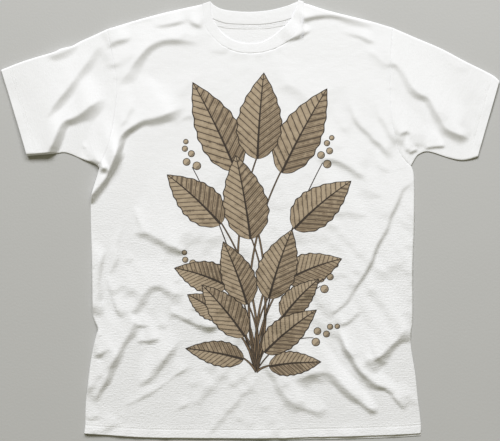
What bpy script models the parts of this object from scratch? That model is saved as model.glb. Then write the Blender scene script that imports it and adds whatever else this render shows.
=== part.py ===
"""A short-sleeved T-shirt laid out flat on its back, front upwards.

Units are metres and +Z is up. The pattern is drafted as a tailor would, in millimetres: x runs across
from the centre front line, and y runs up from the lowest point of the front hem. The whole shirt is then
moved so that the origin is at the middle of its underside. Left and right are as seen from above, with
the collar at the top. Each cloth piece is its own closed solid, and neighbours stay a hair apart.
"""

import math

import bmesh
import bpy
from mathutils import Vector

MM = 0.001
GAP = 0.35  # clear space between neighbouring pieces, in mm, as are all lengths in the pattern

# Layers, from the table up
BACK_THICK = 1.0
FRONT_UNDER = BACK_THICK + GAP
FRONT_TOP = FRONT_UNDER + 1.4
SLEEVE_EDGE = 2.5
TAPE_LOW = BACK_THICK + GAP
TAPE_HIGH = TAPE_LOW + 0.5
TAPE_WIDTH = 7.0
RIB_HALF_THICK = 0.6
RIB_BACK_MID = RIB_HALF_THICK
RIB_FRONT_MID = TAPE_HIGH + GAP + RIB_HALF_THICK

# Where the seams of the pattern meet
NECK_LEFT, NECK_RIGHT = (-73.5, 763.4), (79.6, 764.2)
COLLAR_LEFT, COLLAR_RIGHT = (-87.5, 758.5), (89.3, 761.0)
ARMHOLE_LEFT, ARMHOLE_RIGHT = (-254.6, 714.9), (245.9, 717.2)
UNDERARM_LEFT, UNDERARM_RIGHT = (-268.3, 471.8), (277.4, 476.0)
CUFF_TOP_LEFT, CUFF_TOP_RIGHT = (-439.1, 644.2), (431.4, 625.0)
CUFF_LOW_LEFT, CUFF_LOW_RIGHT = (-393.0, 493.5), (393.2, 491.4)
HEM_LEFT, HEM_RIGHT = (-294.5, 8.6), (294.2, 8.6)
BACK_HEM_DROP = 2.5

# The curves between them, as the points that a smooth line passes through
SHOULDER_LEFT = [ARMHOLE_LEFT, (-204.8, 729.9), (-129.3, 749.4), COLLAR_LEFT]
SHOULDER_RIGHT = [COLLAR_RIGHT, (135.1, 746.6), (202.1, 729.9), ARMHOLE_RIGHT]
SEAM_LEFT = [UNDERARM_LEFT, (-247.0, 521.0), (-237.1, 591.0), (-244.0, 667.0), ARMHOLE_LEFT]
SEAM_RIGHT = [UNDERARM_RIGHT, (254.6, 507.0), (243.3, 552.6), (241.5, 640.0), ARMHOLE_RIGHT]
SIDE_LEFT = [HEM_LEFT, (-291.4, 60.2), (-278.6, 157.9), (-270.5, 190.0), (-280.0, 227.7), (-282.8, 409.2),
             UNDERARM_LEFT]
SIDE_RIGHT = [HEM_RIGHT, (288.6, 74.2), (277.4, 170.0), (280.2, 297.5), (283.0, 445.2), UNDERARM_RIGHT]
HEM = [HEM_LEFT, (-190.8, 1.8), (-4.4, 0.0), (163.1, 3.2), HEM_RIGHT]
SLEEVE_TOP_LEFT = [ARMHOLE_LEFT, (-301.9, 692.7), (-345.6, 675.2), CUFF_TOP_LEFT]
SLEEVE_LOW_LEFT = [UNDERARM_LEFT, (-294.0, 485.6), (-330.2, 499.6), (-349.8, 496.8), CUFF_LOW_LEFT]
SLEEVE_TOP_RIGHT = [ARMHOLE_RIGHT, (330.4, 681.1), (403.0, 643.7), CUFF_TOP_RIGHT]
SLEEVE_LOW_RIGHT = [UNDERARM_RIGHT, (291.4, 496.8), (308.2, 501.0), (364.0, 485.8), CUFF_LOW_RIGHT]
FRONT_NECK_SEAM = [COLLAR_LEFT, (-83.1, 720.7), (-53.4, 686.5), (-6.1, 673.4), (44.6, 683.4), (77.9, 713.7),
                   COLLAR_RIGHT]
FRONT_NECK_EDGE = [NECK_LEFT, (-65.6, 731.2), (-42.0, 699.0), (-6.1, 690.4), (39.4, 702.3), (67.4, 732.9),
                   NECK_RIGHT]
BACK_NECK_SEAM = [COLLAR_LEFT, (-64.4, 730.3), (-9.6, 723.0), (44.6, 727.0), COLLAR_RIGHT]
BACK_NECK_EDGE = [NECK_LEFT, (-41.1, 748.1), (-2.0, 745.0), (40.0, 751.0), NECK_RIGHT]

# Large folds in the front: crest line, height, half width
FOLDS = {
    "left sleeve bend": ([(-253, 595), (-302, 568), (-333, 553), (-354, 504)], 7.0, 15.0),
    "left underarm": ([(-122, 574), (-193, 560), (-228, 532), (-249, 486), (-272, 437)], 8.5, 16.0),
    "left collarbone": ([(-109, 689), (-162, 684), (-195, 661), (-220, 626)], 4.0, 18.0),
    "left waist": ([(-202, 358), (-130, 325)], 4.5, 16.0),
    "left waist arch": ([(-197, 236), (-171, 266), (-136, 255)], 4.0, 14.0),
    "belly left": ([(-144, 220), (-106, 194), (-66, 190)], 5.0, 14.0),
    "left hip": ([(-200, 204), (-232, 148), (-270, 66)], 7.0, 15.0),
    "left hem": ([(-106, 127), (-162, 98), (-232, 64)], 3.5, 12.0),
    "right shoulder": ([(88, 729), (136, 740), (214, 717)], 3.5, 12.0),
    "right sleeve bend": ([(244, 656), (305, 591), (330, 542), (374, 521)], 5.0, 16.0),
    "right side": ([(277, 446), (232, 367), (174, 259), (141, 225)], 3.5, 14.0),
    "right waist": ([(277, 203), (232, 154), (193, 140)], 6.0, 15.0),
    "right hip": ([(153, 180), (192, 127), (267, 49)], 6.0, 14.0),
    "right hem": ([(104, 122), (153, 101), (232, 35)], 6.0, 15.0),
    "centre hem": ([(31, 133), (60, 87), (115, 52)], 4.0, 14.0),
}

# How finely each piece is faceted
SHOULDER_STEPS, NECK_STEPS = 8, 20
BODY_ACROSS, BODY_UP = 2 * SHOULDER_STEPS + NECK_STEPS, 40
SLEEVE_ALONG, SLEEVE_ACROSS = 12, 12
COLLAR_TURN_STEPS = 6
TAPE_MARGIN = 4  # steps of the neckline left bare at each end of the tape

WHITE_JERSEY = (0.86, 0.86, 0.84, 1.0)
WHITE_RIB = (0.84, 0.84, 0.82, 1.0)
WHITE_TAPE = (0.85, 0.85, 0.83, 1.0)


def clear_scene():
    for obj in list(bpy.data.objects):
        bpy.data.objects.remove(obj)


def smooth_curve(points, count):
    """count + 1 points at even spacing along a smooth line through the given ones."""
    knots = [Vector(p) for p in points]
    knots = [2 * knots[0] - knots[1], *knots, 2 * knots[-1] - knots[-2]]
    fine = []
    for a, b, c, d in zip(knots, knots[1:], knots[2:], knots[3:]):
        for step in range(24):
            t = step / 24
            fine.append(0.5 * ((2 * b) + (c - a) * t + (2 * a - 5 * b + 4 * c - d) * t * t
                               + (3 * b - a - 3 * c + d) * t * t * t))
    fine.append(knots[-2])
    return even_points(fine, count)


def even_points(line, count):
    lengths = [0.0]
    for a, b in zip(line, line[1:]):
        lengths.append(lengths[-1] + (b - a).length)
    found, k = [], 0
    for i in range(count + 1):
        want = lengths[-1] * i / count
        while k < len(line) - 2 and lengths[k + 1] < want:
            k += 1
        share = (want - lengths[k]) / max(lengths[k + 1] - lengths[k], 1e-9)
        found.append(line[k].lerp(line[k + 1], share))
    return found


def straight(a, b, count):
    return [Vector(a).lerp(Vector(b), i / count) for i in range(count + 1)]


def moved_aside(line, distance):
    """The line moved to its left, looking along it, by distance."""
    found = []
    for i, point in enumerate(line):
        along = line[min(i + 1, len(line) - 1)] - line[max(i - 1, 0)]
        found.append(point + Vector((-along.y, along.x)).normalized() * distance)
    return found


def patch(low, high, left, right):
    """Rows of points filling the space between four boundary lines."""
    rows = []
    for j in range(len(left)):
        v = j / (len(left) - 1)
        row = []
        for i in range(len(low)):
            u = i / (len(low) - 1)
            corners = (low[0].lerp(low[-1], u)).lerp(high[0].lerp(high[-1], u), v)
            row.append(low[i].lerp(high[i], v) + left[j].lerp(right[j], u) - corners)
        rows.append(row)
    return rows


def distance_along(point, line):
    """How far the point is from a broken line, and the share of the line passed at the nearest place."""
    total = sum((b - a).length for a, b in zip(line, line[1:]))
    best, share, passed = 1e9, 0.0, 0.0
    for a, b in zip(line, line[1:]):
        along = b - a
        t = max(0.0, min(1.0, (point - a).dot(along) / along.length_squared))
        away = (point - a - along * t).length
        if away < best:
            best, share = away, (passed + t * along.length) / total
        passed += along.length
    return best, share


def fold_height(point):
    """How far the folds lift the front at a point of the pattern."""
    height = 0.0
    for line, crest, half_width in FOLDS.values():
        away, share = distance_along(point, [Vector(p) for p in line])
        height += crest * math.exp(-((away / half_width) ** 2)) * (0.35 + 0.65 * math.sin(math.pi * share))
    return height


def outer_loop(rows):
    """The indices of a grid's edge, once round, as (row, column) pairs."""
    last_row, last = len(rows) - 1, len(rows[0]) - 1
    return ([(0, i) for i in range(last)] + [(j, last) for j in range(last_row)]
            + [(last_row, i) for i in range(last, 0, -1)] + [(j, 0) for j in range(last_row, 0, -1)])


def place_grid(mesh, rows, height):
    return [[mesh.verts.new((p.x, p.y, height(p))) for p in row] for row in rows]


def fill_grid(mesh, grid):
    for low, high in zip(grid, grid[1:]):
        for i in range(len(low) - 1):
            mesh.faces.new((low[i], low[i + 1], high[i + 1], high[i]))


def join_loops(mesh, first, second):
    for i in range(len(first)):
        k = (i + 1) % len(first)
        mesh.faces.new((first[i], first[k], second[k], second[i]))


def pattern_to_world(mesh):
    """Millimetres of the pattern become metres, with the shirt's middle at the origin."""
    across = (CUFF_TOP_LEFT[0] + CUFF_TOP_RIGHT[0]) / 2
    top = NECK_RIGHT[1] + (RIB_FRONT_MID - RIB_BACK_MID) / 2 + RIB_HALF_THICK
    up = (top - BACK_HEM_DROP) / 2
    for vert in mesh.verts:
        vert.co = (vert.co - Vector((across, up, 0.0))) * MM


def material(name, colour):
    found = bpy.data.materials.new(name)
    found.use_nodes = True
    shader = found.node_tree.nodes["Principled BSDF"]
    shader.inputs["Base Color"].default_value = colour
    shader.inputs["Roughness"].default_value = 0.92
    shader.inputs["Metallic"].default_value = 0.0
    return found


def add_piece(name, mesh, cloth):
    """Closes a mesh's work: faces outwards, flat facets joined, one named object."""
    pattern_to_world(mesh)
    bmesh.ops.recalc_face_normals(mesh, faces=mesh.faces)
    bmesh.ops.triangulate(mesh, faces=mesh.faces)
    data = bpy.data.meshes.new(name)
    mesh.to_mesh(data)
    mesh.free()
    data.materials.append(cloth)
    data.shade_smooth()
    data.set_sharp_from_angle(angle=math.radians(40))
    obj = bpy.data.objects.new(name, data)
    bpy.context.scene.collection.objects.link(obj)
    return obj


def body_side(side, seam, count):
    """One side of a body panel: up the side seam, then up the armhole, kept clear of the sleeve."""
    share = 0.66
    low = smooth_curve(side, round(count * share))
    high = smooth_curve(seam, count - round(count * share))
    inwards = -GAP / 2 if side[0][0] < 0 else GAP / 2
    return low[:-1] + moved_aside([*low[-1:], *high[1:]], inwards)


def neck_top(seam):
    """The top of a body panel: left shoulder, neckline, right shoulder."""
    left = smooth_curve(SHOULDER_LEFT, SHOULDER_STEPS)
    neck = smooth_curve(seam, NECK_STEPS)
    right = smooth_curve(SHOULDER_RIGHT, SHOULDER_STEPS)
    kept_clear = moved_aside(neck, -GAP / 2)
    return left[:-1] + kept_clear + right[1:]


def body_rows(hem, neck_seam):
    left = body_side(SIDE_LEFT, SEAM_LEFT, BODY_UP)
    right = body_side(SIDE_RIGHT, SEAM_RIGHT, BODY_UP)
    top = neck_top(neck_seam)
    low = smooth_curve(hem, BODY_ACROSS)
    top[0], top[-1] = left[-1], right[-1]
    return patch(low, top, left, right)


def front_panel(cloth):
    """The front: flat below, where it lies on the back, and folded above."""
    rows = body_rows(HEM, FRONT_NECK_SEAM)
    mesh = bmesh.new()
    top = place_grid(mesh, rows, lambda p: FRONT_TOP + fold_height(p))
    fill_grid(mesh, top)
    edge = outer_loop(rows)
    upper = [top[j][i] for j, i in edge]
    lower = [mesh.verts.new((v.co.x, v.co.y, FRONT_UNDER)) for v in upper]
    join_loops(mesh, upper, lower)
    mesh.faces.new(lower)
    return add_piece("front_panel", mesh, cloth)


def back_panel(cloth):
    """The back: one flat sheet on the table, a little longer than the front at the hem."""
    hem = [(x, y - BACK_HEM_DROP) for x, y in HEM]
    rows = body_rows(hem, BACK_NECK_SEAM)
    mesh = bmesh.new()
    edge = [rows[j][i] for j, i in outer_loop(rows)]
    lower = [mesh.verts.new((p.x, p.y, 0.0)) for p in edge]
    upper = [mesh.verts.new((p.x, p.y, BACK_THICK)) for p in edge]
    join_loops(mesh, upper, lower)
    mesh.faces.new(lower)
    mesh.faces.new(upper)
    return add_piece("back_panel", mesh, cloth)


def with_edge_columns(rows):
    """A grid with one narrow column added inside each long edge, for the folded edges of a sleeve."""
    wider = []
    for row in rows:
        first = row[0] + (row[1] - row[0]).normalized() * SLEEVE_EDGE
        last = row[-1] + (row[-2] - row[-1]).normalized() * SLEEVE_EDGE
        wider.append([row[0], first, *row[1:-1], last, row[-1]])
    return wider


def sleeve(name, cloth, seam, top_edge, low_edge, cuff_top, cuff_low):
    """One sleeve: a flattened tube, open at the cuff and at the armhole, with its fold at the top."""
    outwards = GAP / 2 if seam[0][0] < 0 else -GAP / 2
    armhole = moved_aside(smooth_curve(seam, SLEEVE_ACROSS), outwards)
    cuff = straight(cuff_low, cuff_top, SLEEVE_ACROSS)
    low = smooth_curve(low_edge, SLEEVE_ALONG)
    top = smooth_curve(top_edge, SLEEVE_ALONG)
    low[0], top[0] = armhole[0], armhole[-1]
    across = patch(armhole, cuff, low, top)
    rows = with_edge_columns(across)
    mesh = bmesh.new()
    outer_top = place_grid(mesh, rows, lambda p: FRONT_TOP + fold_height(p))
    fill_grid(mesh, outer_top)
    edge = outer_loop(rows)
    upper = [outer_top[j][i] for j, i in edge]
    lower = [mesh.verts.new((v.co.x, v.co.y, 0.0)) for v in upper]
    mesh.faces.new(lower)
    columns = len(rows[0])
    last_row = len(rows) - 1
    long_sides = [k for k, (j, i) in enumerate(edge) if i in (0, columns - 1)]
    at = {place: k for k, place in enumerate(edge)}
    for k in long_sides:
        n = (k + 1) % len(edge)
        if edge[k][1] == edge[n][1]:
            mesh.faces.new((upper[k], upper[n], lower[n], lower[k]))
    inner = [row[1:-1] for row in rows]
    inner_edge = [(j, i + 1) for j, i in outer_loop(inner)]
    ceiling = {p: mesh.verts.new((*rows[p[0]][p[1]], FRONT_UNDER)) for p in inner_edge}
    floor = {p: mesh.verts.new((*rows[p[0]][p[1]], BACK_THICK)) for p in inner_edge}
    mesh.faces.new([ceiling[p] for p in inner_edge])
    mesh.faces.new([floor[p] for p in inner_edge])
    for column in (1, columns - 2):
        for j in range(last_row):
            a, b = (j, column), (j + 1, column)
            mesh.faces.new((ceiling[a], ceiling[b], floor[b], floor[a]))
    for j in (0, last_row):
        mouth_face(mesh, j, columns, outer_top, lower, at, ceiling, floor)
    return add_piece(name, mesh, cloth)


def mouth_face(mesh, j, columns, outer_top, lower, at, ceiling, floor):
    """The cut edge of the cloth round one mouth of a sleeve: over the slit, under it and beside it."""
    for i in range(1, columns - 2):
        a, b = (j, i), (j, i + 1)
        mesh.faces.new((outer_top[j][i], outer_top[j][i + 1], ceiling[b], ceiling[a]))
        mesh.faces.new((lower[at[a]], lower[at[b]], floor[b], floor[a]))
    for inner, outer in ((1, 0), (columns - 2, columns - 1)):
        a, b = (j, inner), (j, outer)
        mesh.faces.new((outer_top[j][outer], outer_top[j][inner], ceiling[a], floor[a], lower[at[a]],
                        lower[at[b]]))


def collar_sections():
    """Each place round the collar: seam point, free edge point, height, and the cloth's upright direction."""
    front_seam = smooth_curve(FRONT_NECK_SEAM, NECK_STEPS)
    front_edge = smooth_curve(FRONT_NECK_EDGE, NECK_STEPS)
    back_seam = smooth_curve(BACK_NECK_SEAM, NECK_STEPS)
    back_edge = smooth_curve(BACK_NECK_EDGE, NECK_STEPS)
    up = Vector((0.0, 0.0, 1.0))
    front = [(s, e, RIB_FRONT_MID, up) for s, e in zip(front_seam, front_edge)]
    back = [(s, e, RIB_BACK_MID, -up) for s, e in zip(back_seam, back_edge)]
    right = neck_fold(front[-1], 1)
    left = neck_fold(front[0], -1)
    return front + right + back[::-1] + left[::-1]


def neck_fold(section, side):
    """The sections where the collar turns over the shoulder, from the front one down to the back one."""
    seam, edge, _, up = section
    radius = (RIB_FRONT_MID - RIB_BACK_MID) / 2
    middle = (RIB_FRONT_MID + RIB_BACK_MID) / 2
    band = (edge - seam).normalized()
    out = Vector((band.y, -band.x)) * side
    turned = []
    for step in range(1, COLLAR_TURN_STEPS):
        angle = math.pi * step / COLLAR_TURN_STEPS
        shift = out * radius * math.sin(angle)
        normal = out.to_3d() * math.sin(angle) + up * math.cos(angle)
        turned.append((seam + shift, edge + shift, middle + radius * math.cos(angle), normal))
    return turned


def collar(cloth):
    """The ribbed collar: one band that runs round the neck and turns over at each shoulder."""
    mesh = bmesh.new()
    loops = []
    for seam, edge, height, normal in collar_sections():
        inner = (edge - seam).normalized() * GAP
        corners = []
        for point, side in ((seam + inner, 1), (edge, 1), (edge, -1), (seam + inner, -1)):
            corners.append(mesh.verts.new(Vector((*point, height)) + normal * RIB_HALF_THICK * side))
        loops.append(corners)
    for i, corners in enumerate(loops):
        join_loops(mesh, corners, loops[(i + 1) % len(loops)])
    return add_piece("collar_rib", mesh, cloth)


def neck_tape(cloth):
    """The narrow tape that covers the seam inside the back of the neck."""
    seam = smooth_curve(BACK_NECK_SEAM, NECK_STEPS)[TAPE_MARGIN:-TAPE_MARGIN]
    upper = moved_aside(seam, -0.5)
    lower = moved_aside(seam, -TAPE_WIDTH)
    mesh = bmesh.new()
    rings = []
    for height in (TAPE_LOW, TAPE_HIGH):
        rings.append([mesh.verts.new((p.x, p.y, height)) for p in upper + lower[::-1]])
    join_loops(mesh, *rings)
    mesh.faces.new(rings[0])
    mesh.faces.new(rings[1])
    return add_piece("neck_tape", mesh, cloth)


def main():
    clear_scene()
    jersey = material("white_jersey", WHITE_JERSEY)
    back_panel(jersey)
    front_panel(jersey)
    sleeve("sleeve_left", jersey, SEAM_LEFT, SLEEVE_TOP_LEFT, SLEEVE_LOW_LEFT, CUFF_TOP_LEFT, CUFF_LOW_LEFT)
    sleeve("sleeve_right", jersey, SEAM_RIGHT, SLEEVE_TOP_RIGHT, SLEEVE_LOW_RIGHT, CUFF_TOP_RIGHT,
           CUFF_LOW_RIGHT)
    collar(material("white_rib", WHITE_RIB))
    neck_tape(material("white_tape", WHITE_TAPE))


main()
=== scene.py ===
"""A crew-neck T-shirt spread out flat, front up: its folds, seams, stitching, ribbed collar and print.

The shirt is drafted as a sewing pattern in millimetres: x runs across from the centre front line and y runs
up from the lowest point of the front hem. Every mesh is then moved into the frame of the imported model, in
metres. Left and right are as seen from above, with the collar at the top.
"""

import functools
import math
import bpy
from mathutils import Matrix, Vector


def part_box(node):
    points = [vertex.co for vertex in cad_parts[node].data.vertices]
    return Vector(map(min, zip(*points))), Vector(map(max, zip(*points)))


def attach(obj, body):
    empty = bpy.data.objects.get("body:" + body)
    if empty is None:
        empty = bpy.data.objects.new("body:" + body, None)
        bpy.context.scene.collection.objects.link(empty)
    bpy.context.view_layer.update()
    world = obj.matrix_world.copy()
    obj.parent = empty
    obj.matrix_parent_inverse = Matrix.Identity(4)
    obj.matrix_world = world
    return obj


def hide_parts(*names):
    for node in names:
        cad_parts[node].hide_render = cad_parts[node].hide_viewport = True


bl_info = {
    "name": "Laid-out T-shirt",
    "version": (1, 0, 0),
    "blender": (4, 5, 0),
    "location": "View3D > Sidebar > T-shirt",
    "description": "A crew-neck T-shirt spread out flat, with its folds, seams, stitching and print",
    "category": "Add Mesh",
}

import bmesh
import bpy
import numpy as np
from bpy.props import FloatProperty, FloatVectorProperty, PointerProperty

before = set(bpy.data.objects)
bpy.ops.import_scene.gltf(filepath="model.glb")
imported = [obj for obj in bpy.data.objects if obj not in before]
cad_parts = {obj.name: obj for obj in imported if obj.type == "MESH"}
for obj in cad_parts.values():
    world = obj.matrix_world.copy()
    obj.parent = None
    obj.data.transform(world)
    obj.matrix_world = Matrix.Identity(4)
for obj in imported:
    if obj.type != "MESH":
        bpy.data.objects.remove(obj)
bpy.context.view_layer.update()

MM = 0.001

# ---- The pattern: where its seams meet, and the smooth lines between them ----

NECK_LEFT, NECK_RIGHT = (-73.5, 763.4), (79.6, 764.2)
COLLAR_LEFT, COLLAR_RIGHT = (-87.5, 758.5), (89.3, 761.0)
ARMHOLE_LEFT, ARMHOLE_RIGHT = (-254.6, 714.9), (245.9, 717.2)
UNDERARM_LEFT, UNDERARM_RIGHT = (-268.3, 471.8), (277.4, 476.0)
CUFF_TOP_LEFT, CUFF_TOP_RIGHT = (-439.1, 644.2), (431.4, 625.0)
CUFF_LOW_LEFT, CUFF_LOW_RIGHT = (-393.0, 493.5), (393.2, 491.4)
HEM_LEFT, HEM_RIGHT = (-294.5, 8.6), (294.2, 8.6)

HEM = [HEM_LEFT, (-241, 4.9), (-190.8, 1.8), (-135, 0.7), (-4.4, 0.0), (65, 0.7), (107, 2.1), (163, 3.2),
       (246, 6.0), HEM_RIGHT]
SIDE_LEFT = [HEM_LEFT, (-292.6, 24), (-291.4, 60), (-285.6, 116), (-278.6, 158), (-273, 181), (-270.5, 191),
             (-277.4, 208), (-280, 228), (-281.4, 325), (-282.6, 381), (-282.8, 409), (-281.4, 426),
             (-277.4, 441), (-271.5, 460), UNDERARM_LEFT]
SIDE_RIGHT = [HEM_RIGHT, (295, 17), (292.8, 41), (288.6, 74.5), (284.4, 114), (277.4, 158), (277.4, 186),
              (280.2, 214), (280.2, 298), (283, 381), (283, 445), (281.6, 464), UNDERARM_RIGHT]
SEAM_LEFT = [UNDERARM_LEFT, (-254, 504), (-245, 539), (-238, 588), (-237.1, 612), (-240, 640), (-244.5, 667),
             (-249.5, 690), ARMHOLE_LEFT]
SEAM_RIGHT = [UNDERARM_RIGHT, (266.5, 487), (255.5, 504), (249, 530), (244, 556), (241, 609), (242, 640),
              (241.5, 662), (243, 682), ARMHOLE_RIGHT]
SHOULDER_LEFT = [ARMHOLE_LEFT, (-204.8, 729.9), (-162.8, 741.5), (-129.3, 749.4), COLLAR_LEFT]
SHOULDER_RIGHT = [COLLAR_RIGHT, (104, 756.4), (135.1, 746.6), (202.1, 729.9), ARMHOLE_RIGHT]
SLEEVE_TOP_LEFT = [ARMHOLE_LEFT, (-282.6, 702), (-303, 692.7), (-316, 685.5), (-335, 681), (-346, 675.4),
                   (-372, 668), (-405, 657.5), CUFF_TOP_LEFT]
SLEEVE_LOW_LEFT = [UNDERARM_LEFT, (-275, 479), (-294, 486), (-316, 496), (-330.2, 499.6), (-350, 497),
                   CUFF_LOW_LEFT]
SLEEVE_TOP_RIGHT = [ARMHOLE_RIGHT, (285.8, 700), (330.4, 681), (372, 659), (403, 643.7), (422, 633.5),
                    CUFF_TOP_RIGHT]
SLEEVE_LOW_RIGHT = [UNDERARM_RIGHT, (285, 489.5), (292, 496.8), (308.2, 501), (343, 490.3), (364, 485.8),
                    (380, 487.5), CUFF_LOW_RIGHT]
FRONT_NECK_SEAM = [COLLAR_LEFT, (-86.0, 742), (-81.5, 718), (-68, 700.5), (-53.4, 687.5), (-33, 677.6),
                   (-17.5, 674.3), (-2, 673.4), (16.6, 675), (34, 679.7), (44.6, 684), (57.6, 691.4),
                   (68, 700), (78.5, 714), (86, 735), COLLAR_RIGHT]
FRONT_NECK_EDGE = [NECK_LEFT, (-71, 738.5), (-64.4, 724.5), (-54, 710), (-39.4, 699), (-23.6, 692.4),
                   (-5.1, 690.1), (13.8, 692), (31, 700), (49.9, 714.5), (65.3, 730), (75.5, 750),
                   NECK_RIGHT]
BACK_NECK_SEAM = [COLLAR_LEFT, (-76, 738), (-63.9, 730.3), (-53, 726.4), (-43, 724.3), (-9.6, 722.8),
                  (21.9, 723.5), (44.6, 727.2), (62, 731.5), (77, 740), COLLAR_RIGHT]
BACK_NECK_EDGE = [NECK_LEFT, (-66, 756.5), (-51.6, 750), (-29, 746.6), (-2, 745.6), (28.9, 748.3),
                  (56.9, 755), (70, 760), NECK_RIGHT]

SIDE_SHARE = 0.66  # the part of a body panel's height that lies below the underarm
BACK_HEM_DROPS = (0.8, 1.0, 1.2, 1.6, 2.6, 3.6, 4.2, 4.6, 4.6, 4.2)  # below each point of the front hem
NECK_SEAM_FOOT = FRONT_NECK_SEAM[4:12]  # the stretch where the front seam lies deepest

# ---- The folds and creases of the upper layer, as columns and rows of the photograph ----
#
# A fold's crest is on the left of its route: the cloth drops from it over the steep width and falls away
# behind it over the gentle one. Name: (route, height, steep width, gentle width), in mm, and how far the fold
# fades in and out where that isn't FADE. Several heights are those at even steps from the start to the end.

PIXEL = 1.75  # mm of shirt to one pixel of the photograph
MIDDLE_COLUMN, HEM_ROW = 252.5, 438.0  # where the centre front and the lowest point of the hem are
FADE = 24.0

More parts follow.
